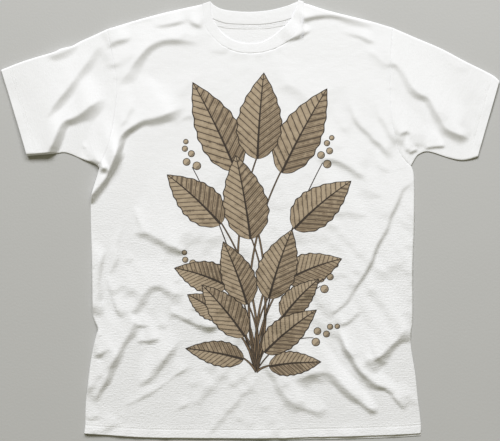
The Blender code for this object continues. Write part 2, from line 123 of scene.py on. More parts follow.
FOLDS = {
    # left sleeve
    "left cuff slope": ([(45, 62), (55, 58), (65, 54), (74, 50), (83, 47)], 4.5, 11, 14),
    "left sleeve long": ([(46, 127), (50, 118), (55, 109), (60, 102), (66, 95), (72, 88), (80, 78), (88, 66),
        (97, 53), (108, 44)], (4.5, 7.5, 7.0, 5.2, 3.6), 13, 20, 50, 60),
    "left sleeve bend": ([(38, 185), (43, 172), (49, 159), (52, 151), (56, 143), (60, 135), (63, 129),
        (67, 125), (73, 123), (80, 120), (87, 116), (93, 111), (99, 106), (107, 99), (114, 93)],
        (4.0, 10.0, 15.5, 14.0, 10.4, 9.6, 9.4), 19, 19, 20, 46),
    "left sleeve spot": ([(74, 145), (80, 146), (84, 148), (89, 144)], 2.8, 6, 10),
    "underarm pucker": ([(86, 159), (90, 160), (95, 162), (99, 164)], 4.0, 4.5, 9, 5, 5),
    "underarm hole": ([(98, 168), (101, 169.5), (105, 169.5), (108, 168)], 8.5, 9, 8, 5, 5),
    # left chest
    "chest": ([(84, 214), (91, 203), (96, 196), (101, 189), (107, 181), (112, 172), (116, 163), (119, 154),
        (122, 145), (125, 138), (130, 132), (138, 126), (145, 122), (153, 121), (162, 120), (170, 117),
        (178, 112), (188, 105)], (11.0, 15.0, 17.5, 18.5, 13.0, 9.6, 8.4, 6.2), 16, 17, 30, 44),
    "chest foot": ([(124, 172), (128, 160), (131, 148), (136, 138)], 1.2, 16, 14),
    "collarbone": ([(120, 92), (124, 83), (130, 75), (136, 66), (144, 58), (152, 51), (163, 46), (175, 44),
        (190, 45), (204, 48)], (4.5, 7.0, 6.5, 5.0), 17, 22, 40, 60),
    "armhole side": ([(121, 130), (126, 122), (131, 113), (135, 104), (139, 97)], 4.0, 11, 14),
    "chest soft high": ([(165, 106), (172, 100), (182, 92), (192, 84), (203, 77)], 1.3, 13, 18),
    "chest soft low": ([(168, 130), (174, 127), (180, 123), (187, 119), (198, 118), (206, 118)], 2.0, 9, 14),
    "chest wavy": ([(139, 133), (144, 136), (150, 138), (158, 134), (166, 136), (174, 139)], 0.9, 7, 10),
    "shoulder thin": ([(152, 27), (160, 26), (170, 24), (180, 22), (190, 21)], 1.9, 3.2, 10),
    "shoulder nick": ([(186, 18), (190, 21), (195, 25), (203, 29)], 2.8, 3.4, 8),
    "shoulder soft": ([(120, 26), (130, 23), (145, 20), (162, 20)], 1.1, 8, 10),
    "armhole top": ([(104, 49), (110, 47), (114, 44), (122, 41), (134, 38)], 2.6, 7, 11),
    "neck thin": ([(200, 52), (210, 51), (220, 52), (230, 53)], 0.8, 5, 10),
    # right shoulder and sleeve
    "right shoulder": ([(299, 22), (306, 21), (313, 20), (320, 19), (328, 18), (336, 18), (346, 20),
        (355, 22), (365, 25), (376, 29)], (5.0, 6.0, 5.0, 2.6, 2.0), 9, 9, 10, 40),
    "right neck": ([(284, 43), (288, 42), (293, 41), (299, 39), (305, 36), (311, 33), (319, 29)], 3.4, 3.0,
        7, 8, 9),
    "right shoulder soft": ([(330, 31), (338, 32), (345, 34), (356, 36), (364, 39), (372, 43), (378, 46)],
        2.0, 8, 14),
    "right armhole soft": ([(360, 49), (367, 53), (375, 58), (383, 66), (390, 77)], 1.7, 11, 16),
    "right sleeve fold": ([(384, 62), (392, 66), (397, 69), (403, 76), (408, 84), (412, 90), (418, 96),
        (425, 100), (429, 107), (433, 116), (438, 124), (443, 131), (450, 135), (458, 138), (472, 142)],
        (4.0, 4.6, 4.6, 4.6), 12, 16),
    "right armpit hook": ([(398, 139), (402, 136), (407, 135), (410, 139), (408, 145), (407, 150),
        (410, 156)], 3.4, 5, 8, 10, 10),
    "right sleeve under": ([(425, 152), (431, 150), (438, 149), (447, 148)], 3.4, 4, 9, 8, 8),
    "right sleeve under small": ([(410, 156), (414, 154), (420, 152)], 3.4, 4, 8, 6, 6),
    "right armhole crease": ([(347, 105), (353, 114), (358, 122), (362, 128), (368, 135), (374, 142),
        (380, 146), (387, 154), (391, 160)], 2.8, 6, 13),
    "right underarm short": ([(377, 108), (379, 115), (383, 123), (387, 131), (391, 140), (394, 148)], 3.4,
        6, 10),
    "right underarm nick": ([(390, 118), (393, 126), (396, 135), (400, 146), (403, 152)], 2.8, 5, 9),
    "right sleeve faint": ([(440, 60), (455, 68), (470, 75)], 0.7, 12, 16),
    # right chest
    "right chest long": ([(276, 76), (284, 83), (295, 91), (305, 101), (313, 111), (322, 124)], 1.5, 13, 20),
    "right chest short": ([(330, 112), (337, 121), (343, 129), (348, 138)], 1.3, 11, 14),
    "right rib high": ([(312, 134), (320, 138), (330, 144), (346, 152)], 1.4, 11, 14),
    "right rib arc": ([(312, 158), (320, 161), (330, 162), (340, 164), (350, 169), (358, 175), (366, 182)],
        2.5, 9, 14),
    "right rib low": ([(352, 182), (360, 187), (370, 193), (382, 200)], 1.3, 10, 12),
    "right rib faint": ([(372, 152), (380, 164), (392, 176)], 0.9, 10, 12),
    "right mid a": ([(320, 180), (330, 190), (337, 199), (346, 208)], 1.3, 11, 14),
    "right mid b": ([(322, 213), (332, 214), (345, 215), (356, 217), (372, 216)], 1.7, 9, 14),
    "right side long": ([(329, 314), (334, 310), (339, 306), (345, 301), (351, 293), (356, 286), (362, 276),
        (369, 264), (375, 251), (380, 240), (385, 230), (390, 218), (395, 208), (399, 198), (402, 191),
        (408, 186), (414, 181)], (2.4, 3.2, 3.4, 3.4, 3.2), 4, 13, 10, 50),
    # left waist
    "left side long": ([(110, 277), (113, 270), (116, 262), (118, 254), (120, 246), (122, 238), (124, 229),
        (125, 219), (125, 207)], (2.2, 3.0, 3.0), 6, 13, 14, 20),
    "left fold star": ([(129, 199), (131, 206), (133, 213), (136, 220), (140, 227), (146, 233)], 2.2, 5, 10,
        10, 20),
    "left waist": ([(130, 240), (137, 236), (144, 236), (151, 239), (160, 243), (168, 247), (177, 252),
        (188, 259)], (3.4, 4.6, 6.0, 5.6), 15, 15, 24, 24),
    "left waist turn": ([(128, 268), (130, 260), (132, 252), (135, 244)], 1.8, 9, 10),
    "left outer soft": ([(108, 318), (103, 308), (100, 296), (101, 284), (102, 270), (104, 257), (107, 245)],
        8.0, 10, 12, 40, 40),
    "left low side": ([(105, 268), (107, 278), (109, 288), (112, 298), (116, 308), (121, 318)], 4.6, 4, 10),
    "left mid soft": ([(118, 283), (124, 286), (131, 291), (139, 296)], 1.3, 10, 13),
    "left mid upright": ([(142, 286), (143, 277), (141, 268)], 1.0, 9, 10),
    "left arch": ([(134, 315), (137, 310), (141, 304), (146, 296), (151, 290), (157, 288), (163, 289),
        (170, 292), (177, 295), (186, 297)], (2.4, 3.4, 5.6, 6.0), 11, 13, 14, 24),
    "belly left": ([(167, 309), (173, 314), (179, 318), (186, 322), (193, 326), (200, 328), (208, 330),
        (216, 329), (224, 327)], (6.5, 8.0, 8.5, 7.0), 12, 12, 14, 24),
    "belly small": ([(181, 305), (187, 307), (193, 309), (199, 310), (206, 311)], 2.3, 8, 11, 10, 14),
    "belly upright a": ([(153, 334), (153, 324), (151, 314), (150, 304)], 1.3, 9, 9),
    "belly upright b": ([(170, 338), (169, 328), (168, 318), (166, 310)], 1.3, 8, 9),
    "left hip": ([(91, 414), (96, 405), (101, 395), (106, 384), (111, 373), (117, 362), (122, 352),
        (127, 341), (132, 331), (138, 319)], (4.0, 7.5, 9.4, 9.4, 8.0), 16, 15, 50, 8),
    "left hip top": ([(135, 325), (140, 327), (145, 327), (151, 325)], 2.2, 5, 10, 6, 8),
    "left hip side": ([(134, 344), (141, 343), (149, 343), (156, 341), (163, 341)], 4.2, 8, 11, 12, 12),
    "left hip corner": ([(96, 359), (101, 356), (106, 353), (112, 351), (117, 349)], 6.5, 13, 9, 14, 10),
    "left hip edge": ([(96, 338), (100, 337), (105, 335)], 2.6, 6, 8, 6, 6),
    "left hip foot": ([(124, 388), (131, 380), (139, 371), (147, 361), (153, 353)], 1.3, 13, 14),
    "left hem arc": ([(132, 389), (139, 387), (146, 383), (152, 379), (158, 374), (164, 367), (169, 361),
        (173, 354), (177, 346), (180, 336)], (3.4, 5.0, 8.0, 8.5, 7.0), 13, 9, 40, 50),
    "left hem ridge": ([(114, 413), (124, 408), (136, 402), (147, 396), (157, 391), (167, 385), (177, 378),
        (188, 370), (200, 361)], 4.6, 9, 6, 50, 50),
    "left hem soft": ([(168, 417), (174, 412), (180, 409), (186, 405), (192, 402)], 2.0, 8, 11),
    "left hem upright": ([(192, 420), (197, 412), (202, 403), (206, 392)], 1.2, 11, 12),
    "left corner nick": ([(88, 421), (92, 418), (96, 416), (100, 412)], 2.2, 6, 8, 6, 6),
    "left corner soft": ([(116, 410), (124, 416), (132, 422)], 1.0, 9, 10),
    # right belly and hem
    "belly right a": ([(270, 290), (277, 293), (284, 294), (292, 291)], 1.9, 8, 11),
    "belly right b": ([(294, 303), (302, 300), (309, 296), (318, 289)], 2.0, 8, 12),
    "belly right c": ([(278, 314), (286, 313), (294, 309), (303, 305)], 1.1, 10, 12),
    "belly right d": ([(268, 332), (280, 330), (292, 325), (303, 319)], 0.9, 12, 14),
    "belly right soft": ([(336, 327), (342, 324), (348, 321), (354, 317), (361, 311)], 2.2, 7, 12, 12, 12),
    "right waist": ([(360, 357), (366, 360), (374, 361), (382, 357), (388, 352), (394, 347), (399, 341),
        (404, 334), (411, 326)], (5.0, 9.0, 9.5, 5.5), 20, 9, 14, 12),
    "right waist soft": ([(374, 360), (382, 363), (392, 367), (402, 370), (412, 372)], 1.9, 9, 11),
    "right waist above": ([(355, 352), (364, 349), (374, 343), (384, 336), (392, 329)], 1.2, 12, 13),
    "right hip": ([(334, 328), (339, 337), (344, 347), (349, 356), (354, 365), (360, 373), (366, 379),
        (372, 384), (379, 389), (386, 393), (392, 397), (397, 403), (401, 410), (405, 419)],
        (12.0, 17.0, 18.0, 8.6, 7.0, 9.0), 13, 11, 40, 40),
    "right hem": ([(293, 384), (302, 380), (310, 377), (318, 376), (326, 377), (333, 380), (339, 385),
        (345, 391), (351, 398), (357, 404), (364, 410), (372, 415), (383, 420)], (8.0, 12.5, 12.0, 10.5), 22,
        12, 30, 34),
    "centre hem": ([(262, 358), (267, 368), (272, 377), (277, 387), (283, 395), (292, 402), (300, 408),
        (310, 412), (322, 415), (334, 417)], (7.0, 7.0, 5.5, 4.5), 12, 11, 50, 50),
    "centre hem soft": ([(252, 403), (259, 408), (268, 414), (278, 419), (288, 422)], 1.5, 10, 12),
    "centre hem dot": ([(259, 396), (266, 395), (273, 392)], 1.1, 8, 10),
}

# Creases pressed into the cloth. Name: (route, depth, half width).

CREASES = {
    "neck foot": ([(281, 50), (287, 50), (294, 49)], 0.7, 2.4),
    "right neck line": ([(286, 43), (292, 41.5), (299, 39), (306, 35.5), (312, 32.5), (317, 30)], 3.2, 2.3),
    "left waist dot": ([(126, 202), (130, 200), (134, 198)], 2.6, 2.0),
    "left waist edge a": ([(88, 207), (93, 206), (99, 204), (105, 205)], 1.0, 1.8),
    "left waist edge b": ([(88, 236), (93, 235), (98, 233), (104, 233)], 1.0, 1.8),
    "belly right thin": ([(327, 320), (328, 312), (329, 304), (331, 296)], 1.3, 2.2),
    "left sleeve lines": ([(31, 119), (37, 123), (42, 125), (48, 127)], 0.25, 1.8),
    "left sleeve tuck": ([(82, 160), (86, 157), (90, 157), (95, 161), (103, 164)], 1.6, 2.6),
    "right hip foot": ([(337, 335), (342, 346), (347, 356), (353, 367), (360, 376), (368, 384)], 3.5, 3.0),
    "right hip tail": ([(386, 395), (393, 401), (398, 408), (402, 417)], 2.2, 4.0),
    "chest inner foot": ([(101, 191), (108, 182), (114, 171), (119, 160), (123, 149), (128, 139)], 4.0, 3.6),
    "underarm right": ([(405, 151), (409, 157), (413, 163)], 1.2, 2.4),
    "right shoulder line": ([(327, 50), (333, 51), (341, 49)], 0.5, 1.8),
    "left armhole tick": ([(111, 42), (113, 47), (115, 52)], 1.6, 1.6),
}


def on_pattern(pixels):
    """Points of the pattern, in mm, from columns and rows of the photograph."""
    return [((column - MIDDLE_COLUMN) * PIXEL, (HEM_ROW - row) * PIXEL) for column, row in pixels]


# ---- What a user may change ----


def length_setting(name, about, default, low, high):
    return FloatProperty(name=name, description=about, default=default, min=low, max=high, unit="LENGTH")


def colour_setting(name, about, *default):
    return FloatVectorProperty(name=name, description=about, default=default, size=3, min=0.0, max=1.0,
                               subtype="COLOR")


class ShirtCloth(bpy.types.PropertyGroup):
    """Thicknesses, hems and folds of the knitted cloth"""

    thickness: length_setting("Jersey", "Thickness of one layer of the jersey", 0.0007, 0.0003, 0.002)
    fold_strength: FloatProperty(
        name="Folds", description="How high the named folds stand, as a share of their usual height",
        default=1.5, min=0.0, max=2.0, subtype="FACTOR")
    softness: length_setting("Softness", "How far every fold is rounded off", 0.0009, 0.0, 0.01)
    rumple: length_setting(
        "Rumple", "Usual height of the soft unevenness between the folds", 0.00055, 0.0, 0.003)
    hem_depth: length_setting(
        "Hem depth", "From the edge of a hem to the nearer row of its stitches", 0.0145, 0.005, 0.04)
    needle_gap: length_setting(
        "Needle gap", "Between the two rows of stitches of a hem", 0.0042, 0.002, 0.01)
    grid: length_setting("Grid", "Usual side of a face of the front and the sleeves", 0.0024, 0.0015, 0.02)


class ShirtColours(bpy.types.PropertyGroup):
    """Colours of the cloth, the thread and the print"""

    jersey: colour_setting("Jersey", "Colour of the knitted cloth", 0.867, 0.87, 0.887)
    thread: colour_setting("Thread", "Colour of the sewing thread", 0.84, 0.84, 0.82)
    ink_light: colour_setting("Print, light", "Light tone of the print", 0.44, 0.35, 0.24)
    ink: colour_setting("Print, middle", "Middle tone of the print", 0.2, 0.135, 0.075)
    ink_line: colour_setting("Print lines", "Colour of the print's outlines and veins", 0.03, 0.018, 0.008)


class ShirtStage(bpy.types.PropertyGroup):
    """The floor, the lights and the camera"""

    floor: colour_setting("Floor", "Colour of the floor", 0.5, 0.5, 0.49)
    key_strength: FloatProperty(
        name="Key light", description="Strength of the soft light from beyond the left shoulder",
        default=2.09, min=0.0)
    softbox_power: FloatProperty(
        name="Softbox", description="Power of the softbox beyond the collar", default=56.0, min=0.0,
        unit="POWER")
    fill_strength: FloatProperty(
        name="Fill light", description="Brightness of the even light from all round", default=0.193, min=0.0)
    view_width: length_setting(
        "View width", "Width of the floor that the camera sees", 0.875, 0.1, 4.0)


# ---- Lines and grids ----

SPAN_STEPS = 24  # points of a smooth line between two given ones, before they are spaced out evenly


def smooth_line(points, spacing=1.0):
    """Points at about even spacing along a smooth line through the given ones."""
    knots = np.asarray(points, float)
    knots = np.vstack((2 * knots[0] - knots[1], knots, 2 * knots[-1] - knots[-2]))
    t = np.linspace(0, 1, SPAN_STEPS, endpoint=False)[:, None]
    spans = []
    for a, b, c, d in zip(knots, knots[1:], knots[2:], knots[3:]):
        spans.append(0.5 * (2 * b + (c - a) * t + (2 * a - 5 * b + 4 * c - d) * t**2
                            + (3 * b - a - 3 * c + d) * t**3))
    line = np.vstack((*spans, knots[-2]))
    length = lengths_along(line)[-1]
    return points_at(line, np.linspace(0, 1, max(2, round(length / spacing) + 1)))


def lengths_along(line):
    steps = np.linalg.norm(np.diff(line, axis=0), axis=1)
    return np.concatenate(([0.0], np.cumsum(steps)))


def points_at(line, shares):
    """The points at the given shares of a line's length."""
    lengths = lengths_along(line)
    wanted = np.asarray(shares) * lengths[-1]
    return np.stack([np.interp(wanted, lengths, line[:, k]) for k in range(line.shape[1])], axis=1)


def directions_along(line):
    along = np.gradient(line, axis=0)
    return along / np.linalg.norm(along, axis=1, keepdims=True)


def moved_aside(line, distance):
    """A flat line moved to its left, looking along it."""
    along = directions_along(line)
    return line + np.stack((-along[:, 1], along[:, 0]), axis=1) * np.reshape(distance, (-1, 1))


def distance_to_line(x, y, line):
    """The signed distance of points from a line, positive on its left, and the share of it passed."""
    best = np.full(x.shape, 1e9)
    side = np.zeros(x.shape)
    share = np.zeros(x.shape)
    lengths = lengths_along(line)
    for k in range(len(line) - 1):
        ax, ay = line[k]
        dx, dy = line[k + 1] - line[k]
        span = math.hypot(dx, dy)
        t = np.clip(((x - ax) * dx + (y - ay) * dy) / span**2, 0, 1)
        away = np.hypot(x - ax - dx * t, y - ay - dy * t)
        nearer = away < best
        best = np.where(nearer, away, best)
        side = np.where(nearer, np.sign(dx * (y - ay) - dy * (x - ax)), side)
        share = np.where(nearer, (lengths[k] + t * span) / lengths[-1], share)
    return best * np.where(side == 0, 1, side), share


def smoothstep(t):
    t = np.clip(t, 0, 1)
    return t * t * (3 - 2 * t)


def graded(length, coarse, fine=(), fine_end=()):
    """Shares from 0 to 1 along a length: the given fine steps at its start and end, and even ones between."""
    start, end = float(sum(fine)), float(sum(fine_end))
    count = max(1, round((length - start - end) / coarse))
    middle = np.linspace(start, length - end, count + 1)
    head = np.concatenate(([0.0], np.cumsum(fine)))[:-1] if len(fine) else np.zeros(0)
    tail = length - np.concatenate(([0.0], np.cumsum(fine_end)))[:-1][::-1] if len(fine_end) else np.zeros(0)
    return np.concatenate((head, middle, tail)) / length


def patch(low, high, left, right, across, up, reach=1.0):
    """A grid of points between four boundary lines, at the given shares across and up.

    With a reach above 1 the bends of the lines straighten out sooner inside the grid.
    """
    u = np.asarray(across)[None, :, None]
    v = np.asarray(up)[:, None, None]

    def bend(line, share):
        return line - (line[0] * (1 - share) + line[-1] * share)

    low_bend, high_bend = bend(low, u[0])[None], bend(high, u[0])[None]
    left_bend, right_bend = bend(left, v[:, 0])[:, None], bend(right, v[:, 0])[:, None]
    corners = (low[0] * (1 - u) + low[-1] * u) * (1 - v) + (high[0] * (1 - u) + high[-1] * u) * v
    return (corners + low_bend * (1 - v) ** reach + high_bend * v**reach
            + left_bend * (1 - u) ** reach + right_bend * u**reach)


# ---- Relief of the upper layer ----


def frequencies(shape, cell):
    """The waves to the mm of a field's Fourier transform, across and up."""
    return np.fft.rfftfreq(shape[1], cell)[None, :], np.fft.fftfreq(shape[0], cell)[:, None]


def filtered(field, kept):
    """A field with each of its waves kept to the given share."""
    return np.fft.irfft2(np.fft.rfft2(field) * kept, s=field.shape)


def soft_noise(shape, cell, long, short, turn, seed):
    """Smooth random heights of unit size on a grid, drawn out along a direction. Lengths in mm."""
    fx, fy = frequencies(shape, cell)
    along = fx * math.cos(turn) + fy * math.sin(turn)
    across = -fx * math.sin(turn) + fy * math.cos(turn)
    kept = np.exp(-2 * math.pi**2 * ((along * long) ** 2 + (across * short) ** 2))
    found = filtered(np.random.default_rng(seed).standard_normal(shape), kept)
    return found / found.std()


def noise_along(count, length, seed):
    """Smooth random heights of unit size, one for each mm along a line."""
    return soft_noise((count, 3), 1.0, 0.0, length, 0, seed)[:, 0]


def blurred(field, cell, radius):
    fx, fy = frequencies(field.shape, cell)
    return filtered(field, np.exp(-2 * (math.pi * radius) ** 2 * (fx**2 + fy**2)))


class Relief:
    """Heights of the shirt's upper layer above its resting level, in mm, on a square grid."""

    CELL = 1.25
    LOW, HIGH = (-460.0, -20.0), (452.0, 790.0)
    CREST = 0.3  # how far beside its route a crest lies, as a share of the steep width
    FOOT = 1.5  # how much farther a steep side reaches than its named width
    SPREAD = 3.0  # how much farther the cloth behind a crest takes to come down
    SPREAD_LIMIT = 0.4  # that distance as a share of the fold's length, at most
    MARGIN = 2.2  # how many such distances from its route a fold is worked out
    SOFTENING = 0.35  # how far the cloth behind a crest is blurred, as a share of the gentle width
    CRISP = 9.0  # how far behind its crest a fold stays crisp
    SLOW_FADE = 40.0  # the least that the soft cloth behind a crest takes to fade in or out
    LONGEST_FADE = 0.45  # as a share of the fold's length
    END_STEEP, END_GENTLE = 0.5, 0.35  # the widths at a fold's ends, as shares of those in its middle
    DRIFT, DRIFT_LENGTH, DRIFT_SEEDS = 1.6, 16, (11, 12)  # how far folds wander off, over what length
    UNEVEN, UNEVEN_LENGTH, UNEVEN_SEED = 0.18, 20, 13  # how much a fold's height varies, over what length
    BANK, GROOVE, BANK_WIDTH, CREASE_REACH = 0.9, 1.6, 2.5, 6  # of a crease, as shares of its depth and width

    def __init__(self):
        xs = np.arange(self.LOW[0], self.HIGH[0], self.CELL)
        ys = np.arange(self.LOW[1], self.HIGH[1], self.CELL)
        self.x, self.y = np.meshgrid(xs, ys)
        self.height = np.zeros(self.x.shape)
        self.drift = [self.noise(self.DRIFT_LENGTH, seed) * self.DRIFT for seed in self.DRIFT_SEEDS]
        self.uneven = self.noise(self.UNEVEN_LENGTH, self.UNEVEN_SEED)

    def noise(self, length, seed):
        return soft_noise(self.x.shape, self.CELL, length, length, 0, seed)

    def window(self, line, reach):
        """The part of the grid within reach of a line."""
        (x0, y0), (x1, y1) = line.min(axis=0) - reach, line.max(axis=0) + reach
        i0, i1 = (max(0, int((v - self.LOW[0]) / self.CELL)) for v in (x0, x1))
        j0, j1 = (max(0, int((v - self.LOW[1]) / self.CELL)) for v in (y0, y1))
        return slice(j0, j1 + 2), slice(i0, i1 + 2)

    def fold(self, route, height, steep, gentle, fade_in=FADE, fade_out=FADE):
        """Raises one fold along its route, lower and narrower towards both ends."""
        line = smooth_line(on_pattern(route), 3.0)
        length = lengths_along(line)[-1]
        reach = max(gentle, min(self.SPREAD * gentle, self.SPREAD_LIMIT * length))
        part = self.window(line, steep + self.MARGIN * reach)
        x, y = self.x[part] + self.drift[0][part], self.y[part] + self.drift[1][part]
        side, share = distance_to_line(x, y, line)
        ends = self.ends(share, length, fade_in, fade_out)
        slow_ends = self.ends(share, length, max(fade_in, self.SLOW_FADE), max(fade_out, self.SLOW_FADE))
        behind = side - self.CREST * steep
        steep_here = self.FOOT * steep * (self.END_STEEP + (1 - self.END_STEEP) * ends)
        gentle_here = reach * (self.END_GENTLE + (1 - self.END_GENTLE) * slow_ends)
        down = np.clip(-behind / steep_here, 0, 1)
        face = 1 - 1.5 * down + 0.5 * down**3  # leaves the crest at a slope and lands level
        back = np.exp(-(np.maximum(behind, 0) / gentle_here) ** 2)
        height = np.interp(share, np.linspace(0, 1, height.size), height)
        found = height * face * back * (1 + self.UNEVEN * self.uneven[part])
        crisp = np.exp(-(np.maximum(behind, 0) / self.CRISP) ** 2)
        soft = blurred(found * slow_ends, self.CELL, self.SOFTENING * gentle)
        self.height[part] += found * ends * crisp + soft * (1 - crisp)

    def crease(self, route, depth, width):
        """Presses one thin crease along its route."""
        line = smooth_line(on_pattern(route), 2.0)
        part = self.window(line, self.CREASE_REACH * width)
        side, share = distance_to_line(self.x[part], self.y[part], line)
        ends = self.ends(share, lengths_along(line)[-1])
        banks, groove = (np.exp(-((side / reach) ** 2)) for reach in (self.BANK_WIDTH * width, width))
        self.height[part] += depth * ends * (self.BANK * banks - self.GROOVE * groove)

    def ends(self, share, length, fade_in=FADE, fade_out=FADE):
        """Fades a fold out towards the two ends of its route."""
        fade_in, fade_out = (min(self.LONGEST_FADE * length, fade) for fade in (fade_in, fade_out))
        return smoothstep(share * length / fade_in) * smoothstep((1 - share) * length / fade_out)

    def at(self, points):
        """Heights at points of the pattern, read between the grid's own."""
        i = (points[..., 0] - self.LOW[0]) / self.CELL
        j = (points[..., 1] - self.LOW[1]) / self.CELL
        i = np.clip(i, 0, self.x.shape[1] - 1.001)
        j = np.clip(j, 0, self.x.shape[0] - 1.001)
        i0, j0 = i.astype(int), j.astype(int)
        a, b = i - i0, j - j0
        h = self.height
        return (h[j0, i0] * (1 - a) * (1 - b) + h[j0, i0 + 1] * a * (1 - b)
                + h[j0 + 1, i0] * (1 - a) * b + h[j0 + 1, i0 + 1] * a * b)


# Rumples between the folds. Kind: its size at the collar, what it gains towards the hem, and its two fields
# of noise, each with the lengths along and across a rumple, its turn and a seed
RUMPLES = {
    "broad": (0.16, 1.5, (34, 17, 0.5, 21), (30, 15, -0.6, 22)),
    "small": (0.08, 1.0, (12, 6, 0.3, 23), (12, 6, -0.9, 24)),
    "slanting": (0.06, 1.5, (24, 5.5, 0.85, 25), (24, 5.5, -0.85, 26)),
}
RUMPLE_START, RUMPLE_GAIN = 560, 420  # how high up they begin to gain in size, and over what distance
SLANT_CHANGE = 300  # the width over which the slanting ones turn the other way
PUCKER, PUCKER_LENGTH, PUCKER_WIDTH, PUCKER_REACH = 0.28, 3.2, 9, 30  # the small waves along a seam
PUCKER_COUNT, PUCKER_SEED = 400, 31
SINKING, SINKING_REACH = 0.6, 44.0  # the share of the broad rises that the cloth's own weight presses flat
SMOOTHING = (-0.3, 0.95)  # the way the hand that laid the shirt out went, towards the left shoulder
EASE = 0.03  # the steepest that cloth may fall away ahead of the hand
EASING_ROUNDS = 7
RESTING = 1.6  # the usual height of the upper layer above the lower one
LANDING = 0.35  # how gradually a dip of the upper layer comes down on the lower one


def rumples(x, y, cell):
    """Soft rumples that grow towards the hem. The slanting ones rise towards the middle from both sides."""
    lower = smoothstep((RUMPLE_START - y) / RUMPLE_GAIN)
    right = smoothstep((x + SLANT_CHANGE / 2) / SLANT_CHANGE)
    found = 0
    for kind, (least, gain, *fields) in RUMPLES.items():
        shares = (1 - right, right) if kind == "slanting" else (1, 1)
        noise = sum(soft_noise(x.shape, cell, *field) * share for field, share in zip(fields, shares))
        found = found + noise * (least + gain * lower)
    return found


def smoothed_down(height, cell):
    """The same folds with their far sides, ahead of the hand, eased down to a gentle slope."""

    def rise(slopes):
        return slopes[0] * SMOOTHING[0] + slopes[1] * SMOOTHING[1]

    fx, fy = frequencies(height.shape, cell)
    squared = fx**2 + fy**2
    squared[0, 0] = 1.0
    steep = np.maximum(rise(np.gradient(height, cell)[::-1]), 0)
    for _ in range(EASING_ROUNDS):
        slopes = np.gradient(height, cell)[::-1]
        ahead = rise(slopes)
        eased = -EASE * (1 - np.exp(np.minimum(ahead, 0) / EASE))
        wanted = np.where(ahead < 0, eased, np.maximum(ahead, steep))
        across, up = (np.fft.rfft2(slope + (wanted - ahead) * way) for slope, way in zip(slopes, SMOOTHING))
        found = (across * fx + up * fy) / (2j * math.pi * squared)
        found *= 1 - SINKING * np.exp(-2 * (math.pi * SINKING_REACH) ** 2 * squared)
        height = np.fft.irfft2(found, s=height.shape)
    return height


@functools.lru_cache(maxsize=1)
def shirt_relief():
    """The folds, the rumples between them and the puckers along the seams."""
    cloth = bpy.context.scene.shirt_cloth
    relief = Relief()
    for route, height, *widths in FOLDS.values():
        relief.fold(route, np.atleast_1d(height) * cloth.fold_strength, *widths)
    for route, depth, width in CREASES.values():
        relief.crease(route, depth, width)
    relief.height += cloth.rumple / MM * rumples(relief.x, relief.y, relief.CELL)
    puckers = noise_along(PUCKER_COUNT, PUCKER_LENGTH, PUCKER_SEED)
    for seam in (SEAM_LEFT, SEAM_RIGHT, FRONT_NECK_SEAM):
        line = smooth_line(seam, 4.0)
        part = relief.window(line, PUCKER_REACH)
        side, share = distance_to_line(relief.x[part], relief.y[part], line)
        along = np.interp(share * lengths_along(line)[-1], np.arange(PUCKER_COUNT), puckers)
        relief.height[part] += PUCKER * along * np.exp(-((side / PUCKER_WIDTH) ** 2))
    height = smoothed_down(blurred(relief.height, relief.CELL, cloth.softness / MM), relief.CELL)
    relief.height = LANDING * np.logaddexp(0, (height + RESTING) / LANDING)
    return relief


# ---- Meshes ----


def pattern_origin():
    """The pattern's point that lies at the frame's origin, in mm."""
    across = (CUFF_TOP_LEFT[0] + CUFF_TOP_RIGHT[0]) / 2
    return np.array((across, -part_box("front_panel")[0].y / MM, 0.0))


def make_piece(name, verts, faces, material, node):
    """One mesh object in the frame, from points of the pattern in mm, in place of a node of the model."""
    mesh = bpy.data.meshes.new(name)
    mesh.from_pydata((verts - pattern_origin()) * MM, [], faces)
    mesh.shade_smooth()
    mesh.materials.append(material)
    piece = bpy.data.objects.new(name, mesh)
    bpy.context.scene.collection.objects.link(piece)
    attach(piece, "root")
    if node:
        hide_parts(node)
    return piece


def add_map(piece, name, places):
    """A UV map from one place for each corner of the faces."""
    layer = piece.data.uv_layers.new(name=name)
    layer.data.foreach_set("uv", np.ascontiguousarray(places, np.float32).ravel())


def corner_places(piece):
    """Each face corner's place in the frame, seen from above, in metres."""
    places = np.zeros(len(piece.data.vertices) * 3)
    piece.data.vertices.foreach_get("co", places)
    return places.reshape(-1, 3)[corner_verts(piece), :2]


def corner_verts(piece):
    found = np.zeros(len(piece.data.loops), int)
    piece.data.loops.foreach_get("vertex_index", found)
    return found


def grid_faces(rows, columns, start=0, flip=False):
    """Quads of a grid whose points are numbered along its rows."""
    j, i = np.meshgrid(np.arange(rows - 1), np.arange(columns - 1), indexing="ij")
    a = (start + j * columns + i).ravel()
    quads = np.stack((a, a + 1, a + 1 + columns, a + columns), axis=1)
    return quads[:, ::-1] if flip else quads


def rim_loop(rows, columns, start=0):
    """The numbers of a grid's edge points, once round, starting along the first row."""
    grid = start + np.arange(rows * columns).reshape(rows, columns)
    return np.concatenate((grid[0, :-1], grid[:-1, -1], grid[-1, :0:-1], grid[:0:-1, 0]))


# ---- Heights of the cloth, in mm ----

